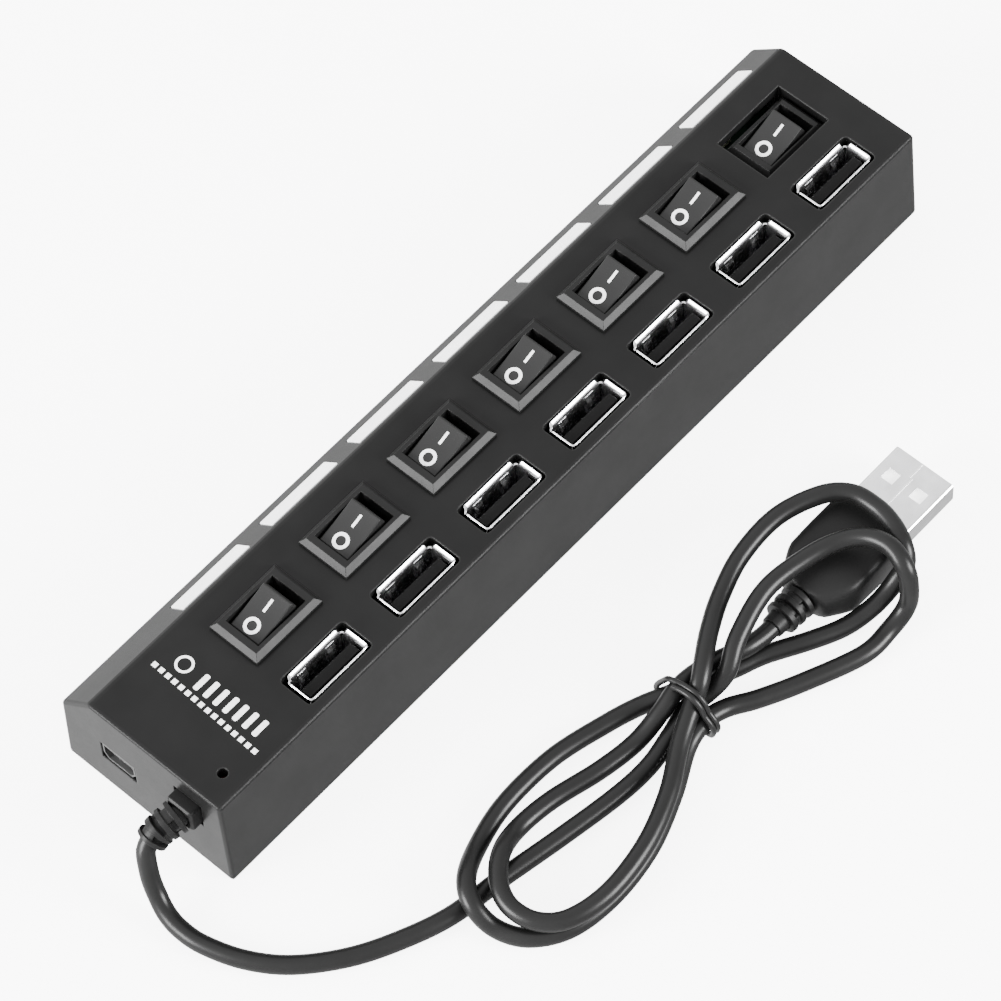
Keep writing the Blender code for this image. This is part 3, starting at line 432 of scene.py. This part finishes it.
# Out of the strain relief, down to the surface, along it, and then twice round a
# bow-shaped hank whose strands cross in the tie.  In millimetres.
CORD_ROUTE_MM = [
    # out of the strain relief and along the surface
    (-90.4, -8.4, 12.7), (-91.8, -8.5, 11.5), (-92.6, -8.8, 10.7), (-93.4, -9.7, 9.1),
    (-94.2, -10.9, 6.7), (-94.8, -12.5, 4.3), (-95.6, -15.0, 2.6), (-96.0, -18.2, 1.9),
    (-95.6, -22.8, 1.75), (-93.3, -29.5, 1.75), (-89.1, -35.8, 1.75), (-82.2, -41.7, 1.75),
    (-74.4, -45.9, 1.75), (-66.5, -48.8, 1.75), (-57.1, -50.3, 1.75), (-45.5, -52.5, 1.75),
    (-33.8, -54.4, 1.75), (-26.5, -54.7, 1.75), (-20.5, -53.8, 2.1), (-15.3, -52.9, 2.8),
    # outer loop over the plug
    (-11.5, -53.9, 3.9), (-8.0, -54.8, 6.9), (-2.9, -52.9, 9.3), (5.8, -51.1, 10.6),
    (14.0, -52.2, 10.9), (19.6, -54.3, 11.4), (22.7, -57.7, 12.7), (23.5, -62.0, 13.6),
    (22.6, -65.8, 12.6), (22.0, -67.4, 9.2), (21.0, -67.9, 4.6), (17.0, -67.7, 2.0),
    (10.8, -67.4, 1.75), (1.0, -63.5, 1.75), (-6.3, -59.9, 1.75), (-11.0, -57.3, 2.2),
    (-15.3, -56.5, 2.8),
    # outer loop towards the bar's cord end
    (-20.2, -57.1, 2.0), (-28.2, -61.0, 1.75), (-37.6, -64.4, 1.75), (-47.5, -65.6, 1.75),
    (-56.0, -64.4, 1.75), (-61.6, -60.6, 1.75), (-64.0, -55.7, 2.2), (-64.3, -51.4, 4.8),
    (-61.7, -47.6, 5.2), (-55.5, -44.1, 2.6), (-46.6, -41.9, 1.75), (-35.6, -42.1, 1.75),
    (-25.4, -44.5, 1.75), (-19.6, -46.6, 2.1), (-15.5, -49.0, 2.9),
    # inner loop over the plug, passing under the outer one
    (-10.5, -50.9, 2.0), (-4.4, -53.5, 1.8), (0.5, -55.4, 1.75), (7.2, -59.2, 1.75),
    (12.7, -61.8, 1.75), (17.4, -63.2, 2.8), (20.8, -63.8, 4.3), (23.2, -64.1, 6.2),
    (25.0, -64.3, 8.7), (26.4, -62.4, 11.0), (28.2, -58.6, 11.2), (29.0, -54.6, 11.0),
    (28.4, -50.0, 11.0), (24.9, -46.3, 10.8), (17.4, -43.5, 10.4), (8.8, -43.5, 9.4),
    (1.1, -45.7, 8.8), (-5.0, -48.6, 8.9), (-9.6, -51.4, 9.0), (-12.6, -53.2, 8.2),
    (-15.3, -54.2, 6.4),
    # inner loop towards the bar's cord end, lying on the outer one
    (-21.9, -57.0, 5.1), (-29.9, -61.5, 5.1), (-39.0, -64.7, 5.05), (-48.8, -65.8, 5.05),
    (-56.3, -64.2, 5.0), (-60.0, -60.6, 5.0), (-60.7, -55.8, 5.0), (-58.9, -51.9, 5.2),
    (-54.8, -48.6, 4.9), (-49.0, -46.6, 2.3), (-41.6, -47.0, 1.75), (-32.3, -49.3, 1.75),
    (-24.9, -50.4, 2.0), (-19.3, -50.8, 4.6), (-15.3, -50.6, 6.1),
    # into the plug's boot
    (-11.0, -50.6, 5.5), (-6.5, -51.7, 5.1), (-2.0, -53.5, 5.1), (1.1, -54.0, 4.7),
    (3.5, -54.1, 4.5), (6.5, -54.1, 4.5),
]

# One turn of the tie as (y, z) in millimetres, from its lower left upwards and over.
TIE_TURN_MM = [
    (-58.5, 1.5), (-58.8, 3.1), (-58.2, 4.5), (-56.9, 5.9), (-56.2, 7.7), (-54.6, 9.0),
    (-52.6, 9.0), (-50.6, 8.35), (-48.9, 7.6), (-47.9, 6.0), (-46.9, 4.1), (-46.4, 2.5),
    (-47.1, 1.1), (-49.0, 0.5), (-51.7, 0.5), (-54.3, 0.5), (-56.7, 0.5), (-58.0, 0.8),
]

# The strain relief's bent centre line, from inside the case to its tip.
RELIEF_LINE_MM = [
    (-83.5, -10.1, 14.9), (-85.2, -10.0, 14.8), (-87.4, -9.5, 14.3), (-89.4, -8.9, 13.4),
    (-91.1, -8.6, 12.1),
]
RELIEF_RIBS = [2.9 * MM, 4.6 * MM, 6.2 * MM, 7.8 * MM]
RELIEF_COLLAR = 5.3 * MM                    # side of the square collar
RELIEF_COLLAR_STATIONS_MM = [
    # place along X from the end face, how much narrower the half side is
    (3.3, 0.0), (2.3, 0.0), (0.3, 0.0), (-1.7, 0.0), (-2.1, 0.35),
]
RIB_TAPER = 0.45 * MM                       # the last rib is lower by this
BRIDGE_STEP = 0.3 * MM                      # the bridges between ribs lie deeper by this
BRIDGE_SPREAD = 0.8                         # cosine of half the angle that a bridge takes


def ribbed_rings(line, rib_places, rib_radius, start_radius, end_radius, rib_half):
    """Rings of a ribbed sleeve round a line, with bridges that alternate between its ribs."""
    sides = 48
    length = line_length(line)
    rings = []
    travelled = 0.0
    for k, point in enumerate(line):
        ahead = line[min(k + 1, len(line) - 1)]
        behind = line[max(k - 1, 0)]
        if k:
            travelled += (point - line[k - 1]).length
        along = (ahead - behind).normalized()
        sideways = along.cross(Vector((0.0, 0.0, 1.0))).normalized()
        upwards = sideways.cross(along)
        share = travelled / length
        core = start_radius + (end_radius - start_radius) * share
        gap = sum(1 for place in rib_places if travelled > place)
        on_rib = any(abs(travelled - place) <= rib_half for place in rib_places)
        between = 0 < gap < len(rib_places) and not on_rib
        full = rib_radius - RIB_TAPER * share
        ring = []
        for side in range(sides):
            angle = 2 * math.pi * side / sides
            radius = core
            if on_rib:
                radius = full
            elif between:
                swing = angle + (math.pi / 2 if gap % 2 else 0.0)
                radius = full - BRIDGE_STEP if abs(math.cos(swing)) > BRIDGE_SPREAD else core
            ring.append(point + sideways * radius * math.cos(angle)
                        + upwards * radius * math.sin(angle))
        rings.append(ring)
    return rings


def make_strain_relief():
    """A ribbed boot on a square collar that comes out of the case's end face."""
    line = line_through(RELIEF_LINE_MM, samples=110)
    bm = bmesh.new()
    loft(bm, ribbed_rings(line, RELIEF_RIBS, rib_radius=3.1 * MM, start_radius=2.0 * MM,
                          end_radius=1.75 * MM, rib_half=0.38 * MM))
    boot = add_piece("relief_boot", bm, plug_look)
    round_edges(boot, 0.12 * MM, segments=2, angle=40.0)
    centre = line[0]
    bm = bmesh.new()
    collar = rounded_rectangle(RELIEF_COLLAR, RELIEF_COLLAR, 0.6 * MM)
    rings = []
    for x, inset in RELIEF_COLLAR_STATIONS_MM:
        scale = 1.0 - 2 * inset * MM / RELIEF_COLLAR
        rings.append([Vector((RELIEF_FACE_X + x * MM, centre.y + p.x * scale,
                              centre.z + p.y * scale)) for p in collar])
    loft(bm, rings)
    neck = add_piece("relief_collar", bm, plug_look)
    round_edges(neck, 0.12 * MM, segments=2)
    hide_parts("strain_relief")
    return [boot, neck]


def make_tie():
    """A wire that goes once and a half round the strands."""
    loop = TIE_TURN_MM + TIE_TURN_MM[:TIE_SECOND_TURN]
    places = []
    for k, (y, z) in enumerate(loop):
        places.append((TIE_X_MM + TIE_PITCH_MM * (0.5 - k / len(TIE_TURN_MM)), y, z))
    line = line_through(places, samples=160)
    turn = wire("tie_wire", line, TIE_RADIUS, tie_look)
    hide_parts("cable_tie")
    return turn


def superellipse(half_y, half_z, power, sides=64):
    """A rounded rectangle in the YZ plane, squarer with a higher power."""
    ring = []
    for k in range(sides):
        angle = 2 * math.pi * k / sides
        across, up = math.cos(angle), math.sin(angle)
        ring.append(Vector((0.0, half_y * math.copysign(abs(across) ** (2 / power), across),
                            half_z * math.copysign(abs(up) ** (2 / power), up))))
    return ring


CONTACT_PLACES_MM = (-3.5, -1.0, 1.0, 3.5)  # across a USB-A tongue
CONTACT_HALF_WIDTH = 0.5 * MM
PLUG_CONTACT_REAR = 8.5 * MM                # behind the tongue's front edge
PLUG_CONTACT_SETBACK = (1.2 * MM, 2.2 * MM)  # of the outer and the inner contacts
PLUG_CENTRE = middle("plug_shell")
PLUG_BOOT_START_X = 12.0 * MM
PLUG_BOOT_END_X = 3.9 * MM
PLUG_BOOT_RIBS = [1.7 * MM, 3.6 * MM, 5.5 * MM]
PLUG_STATIONS = [
    # x in mm, half width, half height, squareness
    (11.2, 3.4, 2.9, 2.4), (11.5, 4.3, 3.2, 3.0), (12.0, 4.9, 3.4, 3.4), (13.2, 5.5, 3.7, 4.0),
    (14.6, 6.2, 3.92, 5.0), (15.8, 6.75, 4.03, 5.8), (16.8, 7.0, 4.06, 6.2),
    (19.0, 7.05, 4.08, 6.5), (22.0, 7.08, 4.09, 6.8), (26.0, 7.06, 4.08, 6.8),
    (28.1, 7.0, 4.05, 6.8), (28.5, 6.9, 3.98, 6.8), (28.65, 6.6, 3.65, 6.8),
    (29.9, 6.58, 3.62, 6.8), (30.3, 6.45, 3.5, 6.8), (30.45, 6.1, 3.2, 6.8),
]


def make_plug_body():
    """The plug's moulding, lofted from its neck to its step at the steel shell."""
    bm = bmesh.new()
    rings = []
    for x, half_y, half_z, power in PLUG_STATIONS:
        centre = Vector((x * MM, PLUG_CENTRE.y, PLUG_CENTRE.z))
        rings.append([centre + point for point in superellipse(half_y * MM, half_z * MM, power)])
    loft(bm, rings)
    body = add_piece("plug_body", bm, plug_look)
    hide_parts("plug_overmould")
    return body


def make_plug_boot():
    """The ribbed tail that the cord goes into."""
    start = Vector((PLUG_BOOT_START_X, PLUG_CENTRE.y, PLUG_CENTRE.z))
    end = Vector((PLUG_BOOT_END_X, PLUG_CENTRE.y, PLUG_CENTRE.z))
    steps = 90
    line = [start.lerp(end, k / steps) for k in range(steps + 1)]
    bm = bmesh.new()
    loft(bm, ribbed_rings(line, PLUG_BOOT_RIBS, rib_radius=3.3 * MM, start_radius=2.5 * MM,
                          end_radius=1.95 * MM, rib_half=0.5 * MM))
    boot = add_piece("plug_boot", bm, plug_look)
    round_edges(boot, 0.12 * MM, segments=2, angle=40.0)
    return boot


def make_plug_contacts():
    """Four contacts under the tongue, of which the outer two reach further forward."""
    low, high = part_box("plug_tongue")
    bm = bmesh.new()
    outer_setback, inner_setback = PLUG_CONTACT_SETBACK
    for place in CONTACT_PLACES_MM:
        y = PLUG_CENTRE.y + place * MM
        setback = outer_setback if abs(place) > 2.0 else inner_setback
        add_block(bm, (high.x - PLUG_CONTACT_REAR, y - CONTACT_HALF_WIDTH, low.z - 0.06 * MM),
                  (high.x - setback, y + CONTACT_HALF_WIDTH, low.z + 0.1 * MM))
    return add_piece("plug_contacts", bm, gold_look)


def make_plug_seam():
    """The folded sheet's joint, a fine raised line along the middle of the top."""
    low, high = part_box("plug_shell")
    start, end = low.x + 3.0 * MM, high.x - 0.15 * MM
    jog = start + (end - start) * 0.72
    bm = bmesh.new()
    for first, last, y in ((start, jog, 0.0), (jog, end, 0.45 * MM)):
        middle_y = PLUG_CENTRE.y + y
        add_block(bm, (first, middle_y - 0.22 * MM, high.z - 0.1 * MM),
                  (last, middle_y + 0.22 * MM, high.z + 0.05 * MM))
    seam = add_piece("plug_seam", bm, seam_look)
    round_edges(seam, 0.04 * MM, segments=2)
    return seam


def make_plug():
    return [make_plug_body(), make_plug_boot(), make_plug_contacts(), make_plug_seam()]


def make_cord():
    """The cord from the strain relief to the plug, with everything that is on it."""
    line = line_through(CORD_ROUTE_MM, samples=620)
    cord = wire("cord_jacket", line, CORD_DIAMETER / 2, cord_look, roundness=10)
    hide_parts("cord")
    pieces = [*make_strain_relief(), make_tie(), *make_plug()]
    pieces += [nodes["plug_shell"], nodes["plug_tongue"]]


# --- rockers ------------------------------------------------------------------------
PADDLE_HALF = 4.2 * MM
PADDLE_RISE = 3.05 * MM
PADDLE_DISH = 0.25 * MM
PADDLE_HALF_WIDTH = 3.1 * MM
PADDLE_UNDERSIDE_MM = [(4.55, 1.2), (3.2, -1.2), (1.2, -2.0), (-1.2, -2.0), (-3.2, -1.2),
                       (-4.55, 1.2)]
AXLE_RADIUS = 0.8 * MM
AXLE_LENGTH = 8.2 * MM
MARK_HEIGHT = 0.03 * MM
BAR_MARK_START = 0.5 * MM
BAR_MARK_LENGTH = 2.4 * MM
BAR_MARK_HALF_WIDTH = 0.24 * MM
RING_MARK_X = -2.3 * MM
RING_MARK_OUTER = 1.45 * MM
RING_MARK_INNER = 0.87 * MM
REST_TILT = math.radians(-18.0)


def paddle_height(x):
    """Height of the dished face above the pivot."""
    return PADDLE_RISE + PADDLE_DISH * (x / PADDLE_HALF) ** 2


def paddle_mesh():
    """A rocker with a dished face, on its axle."""
    steps = 14
    face = [PADDLE_HALF * (2 * k / steps - 1) for k in range(steps + 1)]
    profile = [(x, paddle_height(x)) for x in face]
    profile += [(x * MM, z * MM) for x, z in PADDLE_UNDERSIDE_MM]
    bm = bmesh.new()
    rings = [[Vector((x, side * PADDLE_HALF_WIDTH, z)) for x, z in profile] for side in (-1, 1)]
    loft(bm, rings)
    axle = bmesh.ops.create_cone(bm, cap_ends=True, segments=24, radius1=AXLE_RADIUS,
                                 radius2=AXLE_RADIUS, depth=AXLE_LENGTH)["verts"]
    bmesh.ops.rotate(bm, cent=(0, 0, 0), matrix=Matrix.Rotation(math.pi / 2, 3, "X"), verts=axle)
    return bm


def bar_mark_mesh():
    """The raised line that marks the on side."""
    bm = bmesh.new()
    steps = 8
    rings = []
    for k in range(steps + 1):
        x = BAR_MARK_START + BAR_MARK_LENGTH * k / steps
        z = paddle_height(x)
        rings.append([Vector((x, side * BAR_MARK_HALF_WIDTH, z + lift))
                      for side, lift in ((-1, 0.0), (1, 0.0), (1, MARK_HEIGHT), (-1, MARK_HEIGHT))])
    loft(bm, rings)
    return bm


def ring_mark_mesh():
    """The ring that marks the off side."""
    bm = bmesh.new()
    steps = 56
    rings = []
    for k in range(steps):
        angle = 2 * math.pi * k / steps
        ring = []
        for radius, lift in ((RING_MARK_OUTER, 0.0), (RING_MARK_OUTER, MARK_HEIGHT),
                             (RING_MARK_INNER, MARK_HEIGHT), (RING_MARK_INNER, 0.0)):
            x = RING_MARK_X + radius * math.cos(angle)
            ring.append(Vector((x, radius * math.sin(angle), paddle_height(x) + lift)))
        rings.append(ring)
    loft(bm, rings, closed=True)
    return bm


def make_rockers():
    """Seven rockers with their marks, which share three meshes."""
    shared = {}
    for number in UNITS:
        body = f"rocker_{number}"
        made = []
        for kind, build, look in (("paddle", paddle_mesh, rocker_look),
                                  ("bar_mark", bar_mark_mesh, print_look),
                                  ("ring_mark", ring_mark_mesh, print_look)):
            source = shared.get(kind) or build()
            piece = add_piece(f"{kind}_{number}", source, look, body=body)
            shared[kind] = piece.data
            made.append(piece)
            piece.location = pivot_of(number)
            piece.rotation_euler = (0.0, REST_TILT, 0.0)
        paddle = made[0]
        round_edges(paddle, 0.28 * MM, segments=4, angle=28.0)
        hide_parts(body)


# --- sockets ------------------------------------------------------------------------
SHEET = 0.3 * MM
MOUTH = (12.1 * MM, 4.9 * MM)
CORNER_RADIUS = 0.45 * MM
CORNER_NOTCH = 0.55 * MM                    # the lips stop this far from a rear corner
NOTCH_BLEND = 0.25 * MM
LIP_REACH = 0.5 * MM                        # a point nearer to a wall than this is on its lip
SIDE_LIP_SHARE = 0.45                       # flare of the -X lip against that of the others
FRONT_LIP_SHARE = 0.4
SPRING_PLACES = (-3.2 * MM, 3.2 * MM)
SPRING_TOP_DEPTH = 0.8 * MM                 # below the mouth
SPRING_LENGTH = 5.6 * MM
SPRING_HALF_WIDTH = 0.95 * MM
SPRING_TAPER = 0.2 * MM
SPRING_BULGE = 0.75 * MM
SPRING_SHEET = 0.18 * MM
BLADE_ROOT_Z = 12.2 * MM                    # where the tongue's contacts start
BLADE_FACE_OFFSET = 0.17 * MM               # from the middle of a socket to its tongue's face


def socket_ring(grow, z, flare, lift, corner_drop):
    """One ring of the socket's shell; flare opens the lips, and a rear corner drops instead."""
    radius = CORNER_RADIUS + grow
    outline = rounded_rectangle(MOUTH[0] + 2 * grow, MOUTH[1] + 2 * grow, radius, steps=5)
    full = []
    for a, b in zip(outline, outline[1:] + outline[:1]):
        pieces = max(1, round((b - a).length / (0.35 * MM)))
        full += [a.lerp(b, k / pieces) for k in range(pieces)]
    ring = []
    for p in full:
        near_x = MOUTH[0] / 2 + grow - abs(p.x)
        near_y = MOUTH[1] / 2 + grow - abs(p.y)
        from_corner = max(near_x, near_y)
        open_share = min(1.0, max(0.0, (from_corner - CORNER_NOTCH) / NOTCH_BLEND))
        if p.y < 0:
            open_share = 1.0
        amount_x = 0.0
        amount_y = 0.0
        if near_x < LIP_REACH:
            amount_x = flare * (1.0 if p.x > 0 else SIDE_LIP_SHARE)
        if near_y < LIP_REACH:
            amount_y = flare * (1.0 if p.y > 0 else FRONT_LIP_SHARE)
        ring.append(Vector((p.x + math.copysign(amount_x * open_share, p.x),
                            p.y + math.copysign(amount_y * open_share, p.y),
                            z + lift * open_share - corner_drop * (1.0 - open_share))))
    return ring


def socket_mesh(depth):
    """Sheet-metal tube with flared lips that are notched at two corners."""
    stations_mm = [
        # how far outside the mouth, height, flare, lift of a lip, drop of a corner
        (0.3, -1.0, 0.0, 0.0, 0.0), (0.3, -0.35, 0.05, 0.0, 0.25), (0.3, 0.0, 0.35, 0.12, 0.55),
        (0.3, 0.12, 0.46, 0.14, 0.6), (0.03, 0.2, 0.58, 0.2, 0.66), (0.0, 0.1, 0.35, 0.12, 0.6),
        (0.0, -0.35, 0.05, 0.0, 0.25), (0.0, -1.0, 0.0, 0.0, 0.0),
    ]
    rings = [socket_ring(SHEET, -depth, 0.0, 0.0, 0.0)]
    rings += [socket_ring(*[value * MM for value in station]) for station in stations_mm]
    rings.append(socket_ring(0.0, -depth, 0.0, 0.0, 0.0))
    bm = bmesh.new()
    loft(bm, rings, closed=True)
    return bm


def strip_row(centre, half_width, inner, outer, z):
    """One cross-section of an upright strip of sheet metal."""
    return [Vector((centre - half_width, inner, z)), Vector((centre + half_width, inner, z)),
            Vector((centre + half_width, outer, z)), Vector((centre - half_width, outer, z))]


def spring_mesh():
    """Two leaf springs that bulge in from the socket's rear wall."""
    bm = bmesh.new()
    steps = 14
    for centre in SPRING_PLACES:
        rows = []
        for k in range(steps + 1):
            share = k / steps
            bulge = SPRING_BULGE * math.sin(math.pi * min(1.0, share * 1.05)) ** 1.5
            inner = MOUTH[1] / 2 - 0.04 * MM - bulge
            z = -SPRING_TOP_DEPTH - SPRING_LENGTH * share
            half = SPRING_HALF_WIDTH - SPRING_TAPER * share
            rows.append(strip_row(centre, half, inner, inner + SPRING_SHEET, z))
        loft(bm, rows)
    return bm


def contact_mesh(blade_low, blade_high):
    """Four contact strips on the tongue's face, of which the outer two reach higher."""
    bm = bmesh.new()
    steps = 7
    for place in CONTACT_PLACES_MM:
        top = blade_high - (0.9 if abs(place) > 2.0 else 1.7) * MM
        rows = []
        for step in range(steps + 1):
            share = step / steps
            z = top + (blade_low - top) * share
            rise = 0.07 * MM * math.sin(math.pi * min(1.0, share * 2.0 + 0.15))
            rows.append(strip_row(place * MM, CONTACT_HALF_WIDTH, 0.0, 0.05 * MM + rise, z))
        loft(bm, rows)
    return bm


def make_sockets():
    """Seven sockets with their springs and contacts, which share three meshes."""
    low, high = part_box("port_shell_1")
    blade_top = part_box("port_tongue_1")[1].z
    parts = (
        ("socket_shell", socket_mesh(high.z - low.z), shell_look, 0.0),
        ("socket_springs", spring_mesh(), shell_look, 0.0),
        ("socket_contacts", contact_mesh(BLADE_ROOT_Z - high.z, blade_top - high.z), tinned_look,
         BLADE_FACE_OFFSET),
    )
    shared = {}
    for number in UNITS:
        centre = middle(f"port_shell_{number}")
        for kind, source, look, offset_y in parts:
            piece = add_piece(f"{kind}_{number}", shared.get(kind) or source, look)
            shared[kind] = piece.data
            piece.location = (centre.x, centre.y + offset_y, high.z)
            if kind == "socket_shell":
                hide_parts(f"port_shell_{number}")


# --- small details of the case ------------------------------------------------------
# A mini-USB opening's outline, as shares of its half width and half height.
MINI_OUTLINE = ((-1.0, 1.0), (-1.0, -0.3), (-0.74, -1.0), (0.74, -1.0), (1.0, -0.3), (1.0, 1.0))
POWER_LIP_WALL = 0.3 * MM
POWER_PINS = 5
POWER_PIN_PITCH = 0.8 * MM
PRINT_X = -68.3 * MM                        # the line that the motif is centred on
PRINT_GAP = 0.005 * MM
PRINT_THICKNESS = 0.02 * MM
PRINT_RING_Y = 4.7 * MM
PRINT_RING_OUTER = 1.6 * MM
PRINT_RING_INNER = 1.15 * MM
PRINT_BARS = 7
PRINT_BAR_SIZE = (3.3 * MM, 0.95 * MM)
PRINT_BAR_CORNER = 0.3 * MM
PRINT_BAR_START = (PRINT_X - 0.6 * MM, 0.4 * MM)
PRINT_BAR_PITCH = 2.1 * MM
PRINT_SQUARES = 16
PRINT_SQUARE_START = (PRINT_X - 3.05 * MM, 8.2 * MM)
PRINT_SQUARE_PITCH = 1.5 * MM
PRINT_SQUARE_HALF = 0.45 * MM
PRINT_ROW_SLANT = 0.07 * MM                 # the row of squares drifts by this at each step


def make_power_socket_lip():
    """The socket's front lip, which comes out almost to the end of the case."""
    low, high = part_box("power_socket_shell")
    centre = (low + high) / 2
    half_y = (high.y - low.y) / 2
    half_z = (high.z - low.z) / 2
    front = case_low.x + 0.42 * MM
    rear = low.x - 0.02 * MM
    rings = []
    for x, inset in ((rear, 0.0), (front, 0.0), (front, POWER_LIP_WALL), (rear, POWER_LIP_WALL)):
        rings.append([Vector((x, centre.y + u * (half_y - inset), centre.z + v * (half_z - inset)))
                      for u, v in MINI_OUTLINE])
    bm = bmesh.new()
    loft(bm, rings, closed=True)
    add_piece("power_socket_lip", bm, dull_look)


def make_power_socket_pins():
    """Five contacts under the mini-USB tongue."""
    low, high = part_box("power_socket_tongue")
    bm = bmesh.new()
    centre_y = (low.y + high.y) / 2
    blade_bottom = (low.z + high.z) / 2 - 0.2 * MM
    for k in range(POWER_PINS):
        y = centre_y + (k - (POWER_PINS - 1) / 2) * POWER_PIN_PITCH
        add_block(bm, (low.x + 0.3 * MM, y - 0.2 * MM, blade_bottom - 0.06 * MM),
                  (high.x - 2.6 * MM, y + 0.2 * MM, blade_bottom + 0.05 * MM))
    add_piece("power_socket_pins", bm, gold_look)


def make_print():
    """A plain motif: a ring, a row of seven bars and a row of small squares."""
    bm = bmesh.new()
    low = CASE_TOP + PRINT_GAP
    high = low + PRINT_THICKNESS
    steps = 40
    ring = []
    for k in range(steps):
        turn = 2 * math.pi * k / steps
        around = Vector((math.cos(turn), math.sin(turn)))
        wide = PRINT_RING_OUTER * around
        narrow = PRINT_RING_INNER * around
        ring.append([Vector((PRINT_X + p.x, PRINT_RING_Y + p.y, z))
                     for p, z in ((wide, low), (wide, high), (narrow, high), (narrow, low))])
    loft(bm, ring, closed=True)
    bar = rounded_rectangle(*PRINT_BAR_SIZE, PRINT_BAR_CORNER, steps=4)
    for k in range(PRINT_BARS):
        x = PRINT_BAR_START[0]
        y = PRINT_BAR_START[1] - PRINT_BAR_PITCH * k
        loft(bm, [[Vector((x + p.x, y + p.y, z)) for p in bar] for z in (low, high)])
    for k in range(PRINT_SQUARES):
        x = PRINT_SQUARE_START[0] - PRINT_ROW_SLANT * k
        y = PRINT_SQUARE_START[1] - PRINT_SQUARE_PITCH * k
        add_block(bm, (x - PRINT_SQUARE_HALF, y - PRINT_SQUARE_HALF, low),
                  (x + PRINT_SQUARE_HALF, y + PRINT_SQUARE_HALF, high))
    add_piece("printed_motif", bm, print_look)


def dress_frame():
    """Looks for the CAD nodes; those that a piece replaces need none."""
    dress("housing", case_look, sharp_angle=50.0)
    dress("base_plate", base_look)
    dress("circuit_board", board_look)
    dress("hub_chip", chip_look)
    dress("crystal", can_look)
    dress("power_led", power_led_look)
    dress("power_socket_shell", dull_look)
    dress("power_socket_tongue", tongue_look)
    dress("plug_shell", plug_shell_look)
    dress("plug_tongue", white_tongue_look)
    for number in SCREWS:
        dress(f"base_screw_{number}", screw_look)
    for number in UNITS:
        dress(f"light_guide_{number}", window_look)
        dress(f"switch_frame_{number}", frame_look)
        dress(f"port_tongue_{number}", tongue_look)
        dress(f"indicator_led_{number}", led_look)


# --- floor and lights ---------------------------------------------------------------
FLOOR_HALF_SIZE = 3.0
FLOOR_GLOW = 6.0
FLOOR_DROP = 0.05 * MM
WORLD_DARKEST = 0.5
WORLD_BRIGHTEST = 3.1
WORLD_BRIGHT_SIDE = (-0.7, 0.7, 0.25)
LIGHT_SIZE = 0.6
LEFT_LIGHT_PLACE = (-1.01, 0.46, 0.44)
LEFT_LIGHT_WATTS = 36.0
FRONT_LIGHT_PLACE = (0.45, -1.01, 0.46)
FRONT_LIGHT_WATTS = 39.0


def make_floor():
    """Pale paper that glows and that polished pieces don't mirror."""
    bm = bmesh.new()
    bmesh.ops.create_grid(bm, x_segments=2, y_segments=2, size=FLOOR_HALF_SIZE)
    mesh = bpy.data.meshes.new("floor")
    bm.to_mesh(mesh)
    bm.free()
    look = Shading("floor_paper", (0.9, 0.9, 0.9), 0.9, specular=0.1)
    grain = look.spread(look.noise(1.5 * MM, detail=3.0), 0.0, 1.0)
    look.feed("Base Color", look.mix(grain, (0.89, 0.89, 0.89), (0.91, 0.91, 0.91)))
    look.glow(FLOOR_GLOW)
    mesh.materials.append(look.material)
    floor = bpy.data.objects.new("floor", mesh)
    bpy.context.scene.collection.objects.link(floor)
    floor.location.z = -FLOOR_DROP
    floor.visible_glossy = False


def area_light(name, location, watts):
    """A round soft light that is aimed at the hub."""
    light = bpy.data.lights.new(name, "AREA")
    light.shape = "DISK"
    light.size = LIGHT_SIZE
    light.energy = watts
    lamp = bpy.data.objects.new(name, light)
    lamp.location = location
    lamp.rotation_euler = (-Vector(location)).to_track_quat("-Z", "Y").to_euler()
    bpy.context.scene.collection.objects.link(lamp)


def make_world():
    """A pale studio, brighter on the side of the windows and the cord end."""
    world = bpy.data.worlds.new("studio")
    world.use_nodes = True
    tree = world.node_tree
    background = tree.nodes["Background"]
    background.inputs["Color"].default_value = WHITE
    direction = tree.nodes.new("ShaderNodeTexCoord").outputs["Generated"]
    towards = tree.nodes.new("ShaderNodeVectorMath")
    towards.operation = "DOT_PRODUCT"
    tree.links.new(direction, towards.inputs[0])
    towards.inputs[1].default_value = WORLD_BRIGHT_SIDE
    strength = tree.nodes.new("ShaderNodeMapRange")
    tree.links.new(towards.outputs["Value"], strength.inputs["Value"])
    strength.inputs["From Min"].default_value = -1.0
    strength.inputs["From Max"].default_value = 1.0
    strength.inputs["To Min"].default_value = WORLD_DARKEST
    strength.inputs["To Max"].default_value = WORLD_BRIGHTEST
    tree.links.new(strength.outputs["Result"], background.inputs["Strength"])
    bpy.context.scene.world = world


def make_lights():
    make_world()
    area_light("left_strip", LEFT_LIGHT_PLACE, LEFT_LIGHT_WATTS)
    area_light("front_strip", FRONT_LIGHT_PLACE, FRONT_LIGHT_WATTS)


# --- everything ---------------------------------------------------------------------
make_camera()
make_cord()
dress_frame()
make_rockers()
make_sockets()
make_power_socket_lip()
make_power_socket_pins()
make_print()
make_floor()
make_lights()
